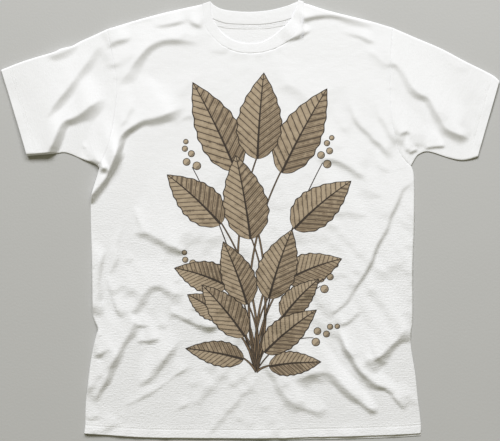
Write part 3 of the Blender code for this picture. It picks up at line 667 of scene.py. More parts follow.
BACK_TOP = 0.75  # the inner side of the back, which lies on the floor
LAYER_GAP = 0.15
LEAST_GAP, LEAST_CLOTH = 0.06, 0.12  # under the front and of the front, where it is pressed down
SIDE_EDGE = 1.0  # the height of the fold where the front turns under into the back
SIDE_RISE = 0.2  # the least that the cloth rises from there
SIDE_ROUND = 3.2
RIM_BULGE = 0.2
SEAM_GROOVE_WIDTH = 1.3
ARMHOLE_GROOVE, NECK_GROOVE, NECK_FOOT_GROOVE, SLEEVE_GROOVE = 0.5, 0.175, 0.375, 0.3
HEM_GROOVE, HEM_GROOVE_WIDTH = 0.42, 1.1
HEM_EXTRA = 0.4  # how much higher the doubled cloth of a hem stands at its stitches
HEM_CURL = 1.0  # and how much more it rises towards its edge
HEM_TURNING = 3  # how far the doubled cloth goes on behind the stitches
HEM_DOUBLING, HEM_TAPER = 0.9, 2  # how much thicker it is there, in layers, and how soon that ends
HEM_LIFT, HEM_LIFT_WIDTH = 0.5, 14
LIFT_LENGTHS, LIFT_STRENGTH, SHORT_LIFT = (17, 6), 1.2, 0.4  # the long and the short waves of a free edge
LONGEST_HEM, FRONT_SEED = 1000, 41
CUFF_SHARE = 0.4  # how much of all that shows at a cuff
STITCH, STITCH_GAP, THREAD = 2.7, 0.55, 0.2  # length of a stitch, gap to the next, the thread's radius


def thickness():
    return bpy.context.scene.shirt_cloth.thickness / MM


def hem_rows():
    """How far the two rows of stitches of a hem are from its edge."""
    cloth = bpy.context.scene.shirt_cloth
    return cloth.hem_depth / MM, (cloth.hem_depth + cloth.needle_gap) / MM


def distances(points, *routes):
    """The least distance from each point to any of the routes."""
    x, y = points[..., 0], points[..., 1]
    return np.minimum.reduce([abs(distance_to_line(x, y, smooth_line(route, 5.0))[0]) for route in routes])


def rounded_edge(height, away):
    """A height that falls to the side fold's within a few mm of it, like the side of a tube."""
    inside = np.clip(away / SIDE_ROUND, 0, 1)
    return SIDE_EDGE + (height - SIDE_EDGE) * np.sqrt(1 - (1 - inside) ** 2)


def hem_shape(from_edge):
    """How much a doubled, stitched hem changes the height of the cloth, at a distance from its edge."""
    near, far = hem_rows()
    doubled = HEM_EXTRA * smoothstep((far + HEM_TURNING - from_edge) / HEM_TURNING)
    curled = HEM_CURL * np.clip(1 - from_edge / near, 0, 1)
    sewn = sum(np.exp(-(((from_edge - row) / HEM_GROOVE_WIDTH) ** 2)) for row in (near, far))
    return doubled + curled - HEM_GROOVE * sewn


def hem_thickness(from_edge):
    """The thickness of the cloth, doubled within the hem."""
    doubled = smoothstep((hem_rows()[1] + HEM_TURNING - from_edge) / HEM_TAPER)
    return thickness() * (1 + HEM_DOUBLING * doubled)


def wave_along(seed):
    """Soft lifts and dips along a free edge, one for each mm, from 0 up."""
    long, short = (noise_along(LONGEST_HEM, reach, seed + k) for k, reach in enumerate(LIFT_LENGTHS))
    return np.logaddexp(0, LIFT_STRENGTH * (long + SHORT_LIFT * short))


class UpperLayer:
    """Heights of the upper side of a panel: folds, hem, seam grooves and the rounded sides."""

    def __init__(self, hem, hem_share, folded_edges, seams, seed):
        self.hem, self.hem_share = smooth_line(hem, 5.0), hem_share
        self.folded_edges, self.seams = folded_edges, seams
        self.wave = wave_along(seed)

    def from_hem(self, points):
        side, share = distance_to_line(points[..., 0], points[..., 1], self.hem)
        return abs(side), share * lengths_along(self.hem)[-1]

    def at(self, points):
        from_edge, passed = self.from_hem(points)
        height = BACK_TOP + LAYER_GAP + thickness() + shirt_relief().at(points)
        height = height + self.hem_share * hem_shape(from_edge)
        lift = np.interp(passed, np.arange(len(self.wave)), self.wave)
        height = height + HEM_LIFT * lift * np.exp(-((from_edge / HEM_LIFT_WIDTH) ** 2))
        for seam, depth in self.seams:
            height = height - depth * np.exp(-((distances(points, seam) / SEAM_GROOVE_WIDTH) ** 2))
        return rounded_edge(np.maximum(height, SIDE_EDGE + SIDE_RISE), distances(points, *self.folded_edges))


def body_layer():
    seams = [(SEAM_LEFT, ARMHOLE_GROOVE), (SEAM_RIGHT, ARMHOLE_GROOVE), (FRONT_NECK_SEAM, NECK_GROOVE),
             (NECK_SEAM_FOOT, NECK_FOOT_GROOVE)]
    return UpperLayer(HEM, 1.0, (SIDE_LEFT, SIDE_RIGHT, SHOULDER_LEFT, SHOULDER_RIGHT), seams, FRONT_SEED)


SLEEVES = {
    "left": ("sleeve_left", SEAM_LEFT, SLEEVE_TOP_LEFT, SLEEVE_LOW_LEFT, (CUFF_LOW_LEFT, CUFF_TOP_LEFT), 51),
    "right": ("sleeve_right", SEAM_RIGHT, SLEEVE_TOP_RIGHT, SLEEVE_LOW_RIGHT,
              (CUFF_LOW_RIGHT, CUFF_TOP_RIGHT), 53),
}


def sleeve_layer(side):
    _, seam, top_edge, low_edge, cuff, seed = SLEEVES[side]
    return UpperLayer(cuff, CUFF_SHARE, (top_edge, low_edge), [(seam, SLEEVE_GROOVE)], seed)


# ---- Front, back and sleeves ----

FINE_EDGE = (0.5, 0.6, 0.8, 1.0, 1.4, 1.8)  # the steps of a grid from a rounded side inwards, in mm
FINE_SEAM = (0.8, 1.0, 1.4)  # and from an armhole into the sleeve
NECK_FLATTENING = np.array((1.0, 0.3))  # a steep stretch of the neckline gets fewer columns
EXTRA_COLUMN, EXTRA_ROW = 12, 5  # where one more goes in when their number has to be odd
BEND_REACH = 3.0  # how soon the bends of the outline straighten out inside the grid
BACK_GRID, BACK_SEED = 5.0, 61
BACK_SEAM_DIP, BACK_SEAM_WIDTH = 0.14, 1.6
BACK_UNEVEN, BACK_UNEVEN_LENGTH = 0.05, 18
SLEEVE_INSET = 0.7  # how much farther in than the cloth's thickness a sleeve's inner side starts
SLEEVE_OPENING = 0.1  # the least height between the layers of a sleeve
UNDER_ROUND = 1.8  # how far a sleeve's rounded sides reach underneath
CUFF_BULGE = 0.18
# The map for flat pictures: the margin round its upper side, the size and place of the lower side, and the
# columns of small boxes for the walls between them
MAP_MARGIN, MAP_UNDER, MAP_UNDER_PLACE = 0.003, 0.26, (0.79, 0.01)
MAP_COLUMNS, MAP_WALLS_PLACE, MAP_WALLS_HEIGHT, MAP_COLUMN_STEP = 8, (0.8, 0.3), 0.68, 0.024
MAP_BOX, MAP_BOX_SHAPE = (0.015, 0.9), ((0.0, 0.0), (1.0, 0.0), (1.0, 1.0), (0.0, 1.0), (-0.3, 0.5))


def hem_steps():
    """The fine steps of a grid across a hem."""
    return [1.0] * (int(hem_rows()[1]) + 4)


def with_one_more(places, at):
    """The same places with one more, halfway between the given one and the one before."""
    return np.insert(places, at, (places[at - 1] + places[at]) / 2, axis=0)


def body_grid(hem, neck_seam, coarse):
    """Rows of points of a body panel, from its hem to its shoulders."""
    tops = [smooth_line(route) * NECK_FLATTENING for route in (SHOULDER_LEFT, neck_seam, SHOULDER_RIGHT)]
    lengths = [lengths_along(line)[-1] for line in tops]
    parts = [graded(lengths[0], coarse, fine=FINE_EDGE), graded(lengths[1], coarse),
             graded(lengths[2], coarse, fine_end=FINE_EDGE)]
    marks = np.concatenate(([0.0], np.cumsum(lengths))) / sum(lengths)
    across = np.concatenate([marks[k] + part[k > 0:] * (marks[k + 1] - marks[k])
                             for k, part in enumerate(parts)])
    high = np.vstack([points_at(line, part[k > 0:]) / NECK_FLATTENING
                      for k, (line, part) in enumerate(zip(tops, parts))])
    if len(across) % 2 == 0:
        across, high = with_one_more(across, EXTRA_COLUMN), with_one_more(high, EXTRA_COLUMN)
    low_part = graded(lengths_along(smooth_line(SIDE_LEFT))[-1], coarse, fine=hem_steps())
    high_part = graded(lengths_along(smooth_line(SEAM_LEFT))[-1], coarse, fine_end=FINE_EDGE)
    if (len(low_part) + len(high_part)) % 2 == 1:
        high_part = with_one_more(high_part, EXTRA_ROW)
    up = np.concatenate((low_part * SIDE_SHARE, SIDE_SHARE + high_part[1:] * (1 - SIDE_SHARE)))
    sides = [np.vstack((points_at(smooth_line(side), low_part), points_at(smooth_line(seam), high_part[1:])))
             for side, seam in ((SIDE_LEFT, SEAM_LEFT), (SIDE_RIGHT, SEAM_RIGHT))]
    return patch(points_at(smooth_line(hem), across), high, *sides, across, up, BEND_REACH)


def sheet_mesh(top, top_z, under_z):
    """Points and faces of a closed sheet: a fine upper side, a rounded rim and a lower side half as fine."""
    rows, columns = top.shape[:2]
    upper = np.dstack((top, top_z)).reshape(-1, 3)
    half = top[::2, ::2]
    lower = np.dstack((half, under_z)).reshape(-1, 3)
    rim = rim_loop(rows, columns)
    count = len(rim)
    lower_start = len(upper) + count
    lower_rim = rim_loop(*half.shape[:2], start=lower_start)
    ring = np.roll(upper[rim], -1, axis=0) - np.roll(upper[rim], 1, axis=0)
    out = np.stack((ring[:, 1], -ring[:, 0]), axis=1)
    out /= np.linalg.norm(out, axis=1, keepdims=True)
    rim_low = lower[lower_rim - lower_start, 2]
    rim_low = np.interp(np.arange(count), np.arange(0, count + 1, 2), np.append(rim_low, rim_low[0]))
    middle = upper[rim]
    middle[:, :2] += out * RIM_BULGE
    middle[:, 2] = (middle[:, 2] + rim_low) / 2
    mid = len(upper) + np.arange(count)
    walls = [(rim[k], mid[k], mid[(k + 1) % count], rim[(k + 1) % count]) for k in range(count)]
    for k in range(0, count, 2):
        here, after = lower_rim[k // 2], lower_rim[(k // 2 + 1) % len(lower_rim)]
        walls.append((mid[k], here, after, mid[(k + 2) % count], mid[k + 1]))
    under = grid_faces(*half.shape[:2], start=lower_start, flip=True).tolist()
    walls = [tuple(int(v) for v in face) for face in walls]
    return np.vstack((upper, middle, lower)), grid_faces(rows, columns).tolist(), walls, under


def flat_places(piece, turn=0.0):
    """Each face corner's place in the frame, in metres, turned so that the knit's columns run along y."""
    flat = corner_places(piece)
    c, s = math.cos(turn), math.sin(turn)
    return np.stack((flat[:, 0] * c - flat[:, 1] * s, flat[:, 0] * s + flat[:, 1] * c), axis=1)


def whole_map(piece, top_count, wall_count):
    """A map of the whole piece for flat pictures: the upper side as large as it goes, and the walls and the
    lower side small beside it."""
    flat = corner_places(piece)
    flat = (flat - flat.min(axis=0)) / np.ptp(flat, axis=0).max()
    sizes = np.zeros(len(piece.data.polygons), int)
    piece.data.polygons.foreach_get("loop_total", sizes)
    ends = np.cumsum(sizes)
    walls = slice(ends[top_count - 1], ends[top_count + wall_count - 1])
    places = flat * (1 - 2 * MAP_MARGIN) + MAP_MARGIN
    places[walls.stop:] = flat[walls.stop:] * MAP_UNDER + MAP_UNDER_PLACE
    wall_sizes = sizes[top_count:top_count + wall_count]
    face = np.repeat(np.arange(wall_count), wall_sizes)
    box = np.array(MAP_BOX_SHAPE)[np.concatenate([np.arange(size) for size in wall_sizes])] * MAP_BOX
    per_column = math.ceil(wall_count / MAP_COLUMNS)
    places[walls, 0] = MAP_WALLS_PLACE[0] + MAP_COLUMN_STEP * (face // per_column) + box[:, 0]
    places[walls, 1] = MAP_WALLS_PLACE[1] + MAP_WALLS_HEIGHT * (face % per_column + box[:, 1]) / per_column
    return places


def front_piece(material):
    """The front: one sheet with the folds, its hem doubled and stitched, rounded where it turns under."""
    layer = body_layer()
    top = body_grid(HEM, FRONT_NECK_SEAM, bpy.context.scene.shirt_cloth.grid / MM)
    height = layer.at(top)
    low = height.copy()
    low[1:-1, 1:-1] = np.minimum.reduce([height[1:-1, 1:-1], height[:-2, 1:-1], height[2:, 1:-1],
                                         height[1:-1, :-2], height[1:-1, 2:]])
    under = np.maximum(low - hem_thickness(layer.from_hem(top)[0]), BACK_TOP + LEAST_GAP)
    under = np.minimum(under, height - LEAST_CLOTH)[::2, ::2]
    verts, upper, walls, lower = sheet_mesh(top, height, under)
    faces = upper + walls + lower
    piece = make_piece("front_cloth", verts, faces, material, "front_panel")
    add_map(piece, "flat", flat_places(piece))
    add_map(piece, "OFBake", whole_map(piece, len(upper), len(walls)))
    return piece


def back_piece(material):
    """The back: flat on the floor, with its inner side up, a little longer than the front at the hem."""
    hem = [(x, y - drop) for (x, y), drop in zip(HEM, BACK_HEM_DROPS)]
    top = body_grid(hem, BACK_NECK_SEAM, BACK_GRID)
    sewn = np.exp(-((distances(top, BACK_NECK_SEAM) / BACK_SEAM_WIDTH) ** 2))
    uneven = soft_noise(top.shape[:2], BACK_GRID, BACK_UNEVEN_LENGTH, BACK_UNEVEN_LENGTH, 0, BACK_SEED)
    height = BACK_TOP - BACK_SEAM_DIP * sewn + uneven * BACK_UNEVEN * (1 - sewn) - BACK_UNEVEN
    verts, upper, walls, lower = sheet_mesh(top, height, np.zeros(top[::2, ::2].shape[:2]))
    piece = make_piece("back_cloth", verts, upper + walls + lower, material, "back_panel")
    add_map(piece, "flat", flat_places(piece))
    return piece


def sleeve_piece(side, material):
    """One sleeve: a flattened tube of cloth, open at the cuff, with the folds in its upper layer."""
    node, seam, top_edge, low_edge, cuff_ends, _ = SLEEVES[side]
    coarse = bpy.context.scene.shirt_cloth.grid / MM
    armhole, cuff, low, high = (smooth_line(route) for route in (seam, cuff_ends, low_edge, top_edge))
    across = graded(lengths_along(armhole)[-1], coarse, fine=FINE_EDGE, fine_end=FINE_EDGE)
    along = graded(lengths_along(high)[-1], coarse, fine=FINE_SEAM, fine_end=hem_steps())

    def grid(shares):
        return patch(points_at(armhole, shares), points_at(cuff, shares), points_at(low, along),
                     points_at(high, along), shares, along)

    layer = sleeve_layer(side)
    outer = grid(across)
    inset = (thickness() + SLEEVE_INSET) / lengths_along(cuff)[-1]
    inner = grid(across * (1 - 2 * inset) + inset)
    from_fold = np.clip(distances(outer, low_edge, top_edge) / UNDER_ROUND, 0, 1)
    outer_low = SIDE_EDGE * (1 - np.sqrt(1 - (1 - from_fold) ** 2))
    inner_high = layer.at(inner) - hem_thickness(layer.from_hem(inner)[0])
    inner_high = np.maximum(inner_high, BACK_TOP + SLEEVE_OPENING)
    outside = tube(outer, layer.at(outer), outer_low)
    inside = tube(inner, inner_high, np.full(inner.shape[:2], BACK_TOP))
    rows, around = outside.shape[:2]
    rim = (outside[-1] + inside[-1]) / 2
    rim[:, :2] += (outer[-1].mean(axis=0) - outer[-3].mean(axis=0)) * CUFF_BULGE
    verts = np.vstack((outside.reshape(-1, 3), inside.reshape(-1, 3), rim))
    mirrored = side == "right"
    count, last = rows * around, (rows - 1) * around
    faces = ring_faces(0, count, around, not mirrored)
    for start in range(0, last, around):
        faces += ring_faces(start, start + around, around, mirrored)
        faces += ring_faces(count + start, count + start + around, around, not mirrored)
    faces += ring_faces(last, 2 * count, around, mirrored)
    faces += ring_faces(2 * count, count + last, around, mirrored)
    piece = make_piece(f"{side}_sleeve", verts, faces, material, node)
    out = (cuff[0] + cuff[-1]) / 2 - (armhole[0] + armhole[-1]) / 2
    add_map(piece, "flat", flat_places(piece, math.atan2(out[0], out[1])))
    return piece


def tube(points, upper, lower):
    """Rings of points round a flattened tube, from its upper and lower heights, joined along its sides."""
    upper = upper.copy()
    upper[:, [0, -1]] = (upper[:, [0, -1]] + lower[:, [0, -1]]) / 2
    return np.concatenate((np.dstack((points, upper)), np.dstack((points, lower))[:, -2:0:-1]), axis=1)


def ring_faces(first, second, around, flip=False):
    """Faces between two closed rings of points."""
    here = np.arange(around)
    after = (here + 1) % around
    quads = np.stack((first + here, first + after, second + after, second + here), axis=1)
    return (quads[:, ::-1] if flip else quads).tolist()


def rod_faces(count, around, start=0, closed=False):
    """Faces round a rod of rings, with a flat face at each end, or with its last ring joined to its first."""
    faces = []
    for k in range(count if closed else count - 1):
        faces += ring_faces(start + k * around, start + (k + 1) % count * around, around, flip=True)
    if not closed:
        end = start + (count - 1) * around
        faces += [list(range(start, start + around)), list(range(end, end + around))[::-1]]
    return faces


# ---- Collar, tape and stitches ----

RIB_HALF = 0.32  # half the thickness of the collar's doubled rib
RIB_PITCH = 1.5
RIB_DEPTH = 0.17
RIB_MIDDLE = 1.15  # the height of the front rib's middle at its free edge
RIB_FOLLOWS = 0.45  # how much of the relief at the seam its free edge follows
RIB_SINKING = 0.45  # how far the rib lies below the front's upper side at the seam
RIB_SMOOTHING = 20  # how many places each way the relief is evened out over, along the seam
RIB_BACK_GAPS = (0.12, 0.18)  # under the back rib, at its seam and at its free edge
NECK_TURN_STEPS = 9
# The collar's section, from its seam over the outside to the free edge and back: share of the width, share
# of the half thickness, share of the rib's depth
RIB_SECTION = [(0.0, 0.45, 0.0), (0.03, 0.8, 0.3), (0.08, 0.98, 0.8), (0.2, 1.04, 1.0), (0.4, 1.08, 1.0),
               (0.6, 1.08, 1.0), (0.8, 1.05, 1.0), (0.95, 1.0, 0.9), (0.988, 0.8, 0.7), (1.0, 0.0, 0.4),
               (0.988, -0.8, 0.7), (0.95, -1.0, 0.9), (0.6, -1.05, 1.0), (0.3, -1.0, 1.0),
               (0.09, -0.85, 0.8), (0.0, -0.4, 0.0)]
# The tape's section from its upper edge to its lower one: share of the width, height above the back
TAPE_SECTION = [(0.0, 0.07), (0.03, 0.1), (0.12, 0.13), (0.5, 0.1), (0.8, 0.05), (0.92, 0.02), (1.0, -0.02)]
TAPE_BOTTOM = -0.1
TAPE_OFFSET, TAPE_WIDTH = 0.3, 7.6
TAPE_ENDS, TAPE_STEPS = (0.14, 0.86), 120
TAPE_STITCH_ENDS, TAPE_STITCH_STEPS = (0.15, 0.85), 110
TAPE_STITCH_ROWS, TAPE_STITCH_HEIGHT, TAPE_SLOPE = (0.12, 0.88), 0.05, 0.1
# A stitch: share of its length, height above its line, share of the thread's full thickness
THREAD_BENDS = [(0.0, -0.28, 0.55), (0.12, 0.02, 1.0), (0.5, 0.12, 1.0), (0.88, 0.02, 1.0),
                (1.0, -0.28, 0.55)]
THREAD_SIDES = 6
STITCH_ABOVE, STITCH_BELOW = 0.4, 0.6  # a stitch's line from the cloth and from the floor, in thread radii


def collar_side(seam, edge):
    """Places along the seam and the free edge of one side of the collar, a quarter of a rib apart."""
    seam, edge = smooth_line(seam, 0.5), smooth_line(edge, 0.5)
    middle = (lengths_along(seam)[-1] + lengths_along(edge)[-1]) / 2
    shares = np.linspace(0, 1, round(4 * middle / RIB_PITCH))
    return points_at(seam, shares), points_at(edge, shares)


def collar_sections():
    """Each place round the collar: its seam and free edge in space, and the outward side of the cloth."""
    seams, edges = collar_side(FRONT_NECK_SEAM, FRONT_NECK_EDGE)
    relief = np.pad(shirt_relief().at(seams), RIB_SMOOTHING, mode="edge")
    span = 2 * RIB_SMOOTHING + 1
    lifts = np.convolve(relief, np.ones(span) / span, mode="valid")
    resting = BACK_TOP + LAYER_GAP + thickness() - RIB_SINKING
    up = np.array((0.0, 0.0, 1.0))
    front = [(np.array((*s, resting + lift)), np.array((*e, RIB_MIDDLE + RIB_FOLLOWS * lift)), up)
             for s, e, lift in zip(seams, edges, lifts)]
    at_seam, at_edge = (RIB_HALF + gap for gap in RIB_BACK_GAPS)
    back = [(np.array((*s, at_seam)), np.array((*e, at_edge)), -up)
            for s, e in zip(*collar_side(BACK_NECK_SEAM, BACK_NECK_EDGE))]
    return (front + neck_turn(front[-1], back[-1], 1) + back[::-1]
            + neck_turn(front[0], back[0], -1)[::-1])


def neck_turn(front, back, side):
    """The sections where the collar turns over the shoulder, from the front down to the back."""
    band = (front[1] - front[0])[:2]
    out = np.array((band[1], -band[0], 0.0)) / np.linalg.norm(band) * side
    radius = (front[0][2] - back[0][2]) / 2
    found = []
    for k in range(1, NECK_TURN_STEPS):
        angle = math.pi * k / NECK_TURN_STEPS
        share = (1 - math.cos(angle)) / 2
        seam, edge = (front[j] * (1 - share) + back[j] * share + out * radius * math.sin(angle)
                      for j in range(2))
        found.append((seam, edge, out * math.sin(angle) + np.array((0.0, 0.0, math.cos(angle)))))
    return found


def collar_piece(material):
    """The ribbed collar: one doubled band round the neck, turned over at each shoulder."""
    seam, edge, normal = (np.array(part) for part in zip(*collar_sections()))
    middle = (seam + edge) / 2
    passed = lengths_along(np.vstack((middle, middle[:1])))
    ribs = round(passed[-1] / RIB_PITCH)
    wave = 0.5 * np.cos(2 * math.pi * ribs * passed[:-1] / passed[-1])
    rings = [seam + (edge - seam) * share
             + normal * (half * RIB_HALF + math.copysign(depth * RIB_DEPTH, half) * wave)[:, None]
             for share, half, depth in RIB_SECTION]
    points = np.stack(rings, axis=1)
    count, around = points.shape[:2]
    faces = rod_faces(count, around, closed=True)
    piece = make_piece("collar", points.reshape(-1, 3), faces, material, "collar_rib")
    width = np.linalg.norm(edge - seam, axis=1).mean()
    ring, step = np.divmod(corner_verts(piece), around)
    shares = np.array([share for share, _, _ in RIB_SECTION])
    add_map(piece, "flat", np.stack((passed[ring], shares[step] * width), axis=1) * MM)
    return piece


def at_height(line, height):
    """A flat line in space, at one height or at one for each of its points."""
    return np.column_stack((line, np.broadcast_to(height, len(line))))


def tape_line(ends, steps, share):
    """A line along the tape inside the back of the neck, at a share of its width."""
    line = points_at(smooth_line(BACK_NECK_SEAM, 1.5), np.linspace(*ends, steps))
    return moved_aside(line, -(TAPE_OFFSET + TAPE_WIDTH * share))


def tape_piece(material):
    """The tape over the seam inside the back of the neck."""
    section = TAPE_SECTION + [(1.0, TAPE_BOTTOM), (0.0, TAPE_BOTTOM)]
    points = np.stack([at_height(tape_line(TAPE_ENDS, TAPE_STEPS, share), BACK_TOP + height)
                       for share, height in section], axis=1)
    faces = rod_faces(TAPE_STEPS, len(section))
    piece = make_piece("tape", points.reshape(-1, 3), faces, material, "neck_tape")
    add_map(piece, "flat", flat_places(piece))
    return piece


def stitching_piece(name, lines, material):
    """Rows of stitches along lines in space, each a short length of thread that dips into the cloth."""
    share, lift, thin = (np.array(part) for part in zip(*THREAD_BENDS))
    turns = (np.arange(THREAD_SIDES) * 2 * math.pi / THREAD_SIDES)[:, None]
    rows = []
    for line in lines:
        lengths = lengths_along(line)
        starts = np.arange(int(lengths[-1] // (STITCH + STITCH_GAP))) * (STITCH + STITCH_GAP)
        passed = ((starts[:, None] + share * STITCH) / lengths[-1]).ravel()
        places = points_at(line, passed) + np.outer(np.tile(lift, len(starts)), (0, 0, 1))
        steps = np.interp(passed, lengths / lengths[-1], np.linspace(0, 1, len(line)))
        along = points_at(directions_along(line), steps)
        aside = np.stack((-along[:, 1], along[:, 0], np.zeros(len(along))), axis=1)
        aside /= np.linalg.norm(aside, axis=1, keepdims=True)
        above = np.cross(along, aside)
        radius = (THREAD * np.tile(thin, len(starts)))[:, None, None]
        round_it = (aside[:, None] * np.cos(turns) + above[:, None] * np.sin(turns)) * radius
        rows.append((places[:, None] + round_it).reshape(-1, 3))
    verts = np.vstack(rows)
    faces = []
    for start in range(0, len(verts), THREAD_SIDES * len(share)):
        faces += rod_faces(len(share), THREAD_SIDES, start)
    return make_piece(name, verts, faces, material, None)


def hem_stitches(name, route, layer, inward, material):
    """Both rows of a hem's stitches, on the upper side and the lower one."""
    lines = []
    for row in hem_rows():
        line = moved_aside(smooth_line(route, 2.0), row * inward)[2:-2]
        lines += [at_height(line, layer.at(line) + THREAD * STITCH_ABOVE),
                  at_height(line, THREAD * STITCH_BELOW)]
    return stitching_piece(name, lines, material)


def tape_stitches(material):
    """The two rows of stitches that hold the tape."""
    lines = [at_height(tape_line(TAPE_STITCH_ENDS, TAPE_STITCH_STEPS, share),
                       BACK_TOP + TAPE_STITCH_HEIGHT - TAPE_SLOPE * share) for share in TAPE_STITCH_ROWS]
    return stitching_piece("tape_stitching", lines, material)


# ---- Materials ----


def arithmetic(operation, swapped=False):
    """A method that takes one step of arithmetic by adding a maths node."""

    def step(self, *others):
        return self.wiring.maths(operation, *((*others, self) if swapped else (self, *others)))

    return step


class Signal:
    """An output of a shader node. A sum, product or comparison of signals adds its own node."""

    __add__, __radd__ = arithmetic("ADD"), arithmetic("ADD", swapped=True)
    __sub__, __rsub__ = arithmetic("SUBTRACT"), arithmetic("SUBTRACT", swapped=True)
    __mul__, __truediv__, __pow__ = arithmetic("MULTIPLY"), arithmetic("DIVIDE"), arithmetic("POWER")
    __lt__, __gt__, __abs__ = arithmetic("LESS_THAN"), arithmetic("GREATER_THAN"), arithmetic("ABSOLUTE")
    fraction, sine, root, most = (arithmetic(operation) for operation in ("FRACT", "SINE", "SQRT", "MAXIMUM"))

    def __init__(self, wiring, socket):
        self.wiring, self.socket = wiring, socket


class Wiring:
    """Adds shader nodes to a tree and joins them. Each input is a value or a signal."""

    def __init__(self, tree):
        self.tree = tree

    def node(self, kind, inputs, **settings):
        found = self.tree.nodes.new("ShaderNode" + kind)
        for name, value in settings.items():
            setattr(found, name, value)
        for key, value in inputs.items():
            self.feed(found.inputs[key], value)
        return found

    def feed(self, socket, value):
        if isinstance(value, Signal):
            self.tree.links.new(value.socket, socket)
        else:
            socket.default_value = value

    def signals(self, outputs):
        return {output.name: Signal(self, output) for output in outputs}

    def signal(self, kind, inputs, output=0, **settings):
        return Signal(self, self.node(kind, inputs, **settings).outputs[output])

    def parts(self, vector):
        return self.signals(self.node("SeparateXYZ", {0: vector}).outputs).values()

    def maths(self, operation, *values):
        return self.signal("Math", dict(enumerate(values)), operation=operation)

    def blend(self, share, first, second):
        return self.signal("Mix", {0: share, 6: first, 7: second}, output=2, data_type="RGBA")

    def stretched(self, place, stretch):
        return self.signal("VectorMath", {0: place, 1: stretch}, operation="MULTIPLY")

    def noise(self, place, scale, detail=2.0, roughness=0.5):
        """Soft noise about 0.5, from a place in mm."""
        inputs = {"Vector": place, "Scale": scale, "Detail": detail, "Roughness": roughness}
        return self.signal("TexNoise", inputs, output="Fac")

    def bump(self, shader, height, distance, **strength):
        inputs = {"Height": height, "Distance": distance, **strength}
        self.feed(shader.inputs["Normal"], self.signal("Bump", inputs))


SOCKETS = {"float": "NodeSocketFloat", "vector": "NodeSocketVector", "colour": "NodeSocketColor"}


def new_group(name, takes, gives):
    """An empty node group and its wiring, with the named inputs and outputs."""
    tree = bpy.data.node_groups.new(name, "ShaderNodeTree")
    for direction, sockets in (("INPUT", takes), ("OUTPUT", gives)):
        for label, kind in sockets.items():
            tree.interface.new_socket(label, in_out=direction, socket_type=SOCKETS[kind])
    entry, leave = tree.nodes.new("NodeGroupInput"), tree.nodes.new("NodeGroupOutput")
    wiring = Wiring(tree)
    return wiring, wiring.signals(entry.outputs), leave.inputs


WALE, COURSE = 0.95, 0.8  # the knit's loops, in mm: from one column and from one row to the next
LEG_SLANT = 0.9  # how far the legs of a loop slant, in rows
LOOP_HEIGHT, ROW_HEIGHT, GRAIN_HEIGHT, WRINKLE_HEIGHT = 0.09, 0.5, 1.3, 0.55
ROW_TINT, GRAIN_TINT = 0.6, 0.4
# The uneven rows, the grain and the fine wrinkles: stretch across and along the columns, detail, roughness
KNIT_NOISES = (((0.06, 0.5, 1.0), 3.0, 0.5), ((0.24, 0.34, 1.0), 4.0, 0.65), ((0.045, 0.07, 1.0), 3.0, 0.55))


def knit_group(name):
    """Height in mm and tint of plain knitted cloth at a place in mm, its columns running along y."""
    wiring, taken, given = new_group(name, {"Place": "vector", "Streaks": "float"},
                                     {"Height": "float", "Tint": "float"})
    x, y, _ = wiring.parts(taken["Place"])
    across = abs((x / WALE).fraction() - 0.5)
    course = (y / COURSE + across * LEG_SLANT).fraction()
    loops = (1.0 - across * across * 4.0) * (0.5 + (course * math.pi).sine() * 0.5)
    rows, grain, wrinkle = (wiring.noise(wiring.stretched(taken["Place"], stretch), 1.0, detail, roughness)
                            for stretch, detail, roughness in KNIT_NOISES)
    streaky = (rows * ROW_HEIGHT + grain * GRAIN_HEIGHT) * taken["Streaks"]
    wiring.feed(given["Height"], loops * LOOP_HEIGHT + (streaky + wrinkle * WRINKLE_HEIGHT))
    wiring.feed(given["Tint"], rows * ROW_TINT + grain * GRAIN_TINT)
    return wiring.tree


def new_material(name, looks):
    """An empty material with its wiring and its shader."""
    found = bpy.data.materials.new(name)
    found.use_nodes = True
    shader = found.node_tree.nodes["Principled BSDF"]
    for key, value in looks.items():
        shader.inputs[key].default_value = value
    return found, Wiring(found.node_tree), shader


def tint(colour, share=1.0):
    """A colour as a socket takes it, made darker or paler."""
    return (*(min(1.0, c * share) for c in colour), 1.0)


KNIT_LOOKS = {"Roughness": 0.88, "Specular IOR Level": 0.25, "Sheen Weight": 0.12, "Sheen Roughness": 0.5}
KNIT_DARK, KNIT_PALE, KNIT_BUMP = 0.955, 1.02, 0.8
JERSEY_STREAKS, RIB_STREAKS, TAPE_STREAKS, TAPE_TINT = 0.35, 0.2, 0.6, 0.97


def knit_cloth(name, colour, streaks):
    """Knitted cloth, and what a print on it needs: wiring, shader, knit, place on the cloth and shade."""
    found, wiring, shader = new_material(name, KNIT_LOOKS)
    place = wiring.stretched(wiring.signal("UVMap", {}, uv_map="flat"), (1 / MM, 1 / MM, 1.0))
    knit = wiring.node("Group", {"Place": place, "Streaks": streaks}, node_tree=shared("knit", knit_group))
    look = wiring.signals(knit.outputs)
    shade = wiring.blend(look["Tint"], tint(colour, KNIT_DARK), tint(colour, KNIT_PALE))
    wiring.feed(shader.inputs["Base Color"], shade)
    wiring.bump(shader, look["Height"], MM, Strength=KNIT_BUMP)
    return found, wiring, shader, knit, place, shade


def plain_cloth(name, colour, streaks, share=1.0):
    """Cloth without a print, in a share of the colour."""
    return knit_cloth(name, tint(colour, share)[:3], streaks)[0]


# ---- The print: a fan of broad leaves and berries, drawn in dark lines on a mid tone ----
#
# Places are in mm from the foot of its stems.

PRINT_FOOT = (0.0105, -0.266)  # in the frame, in metres
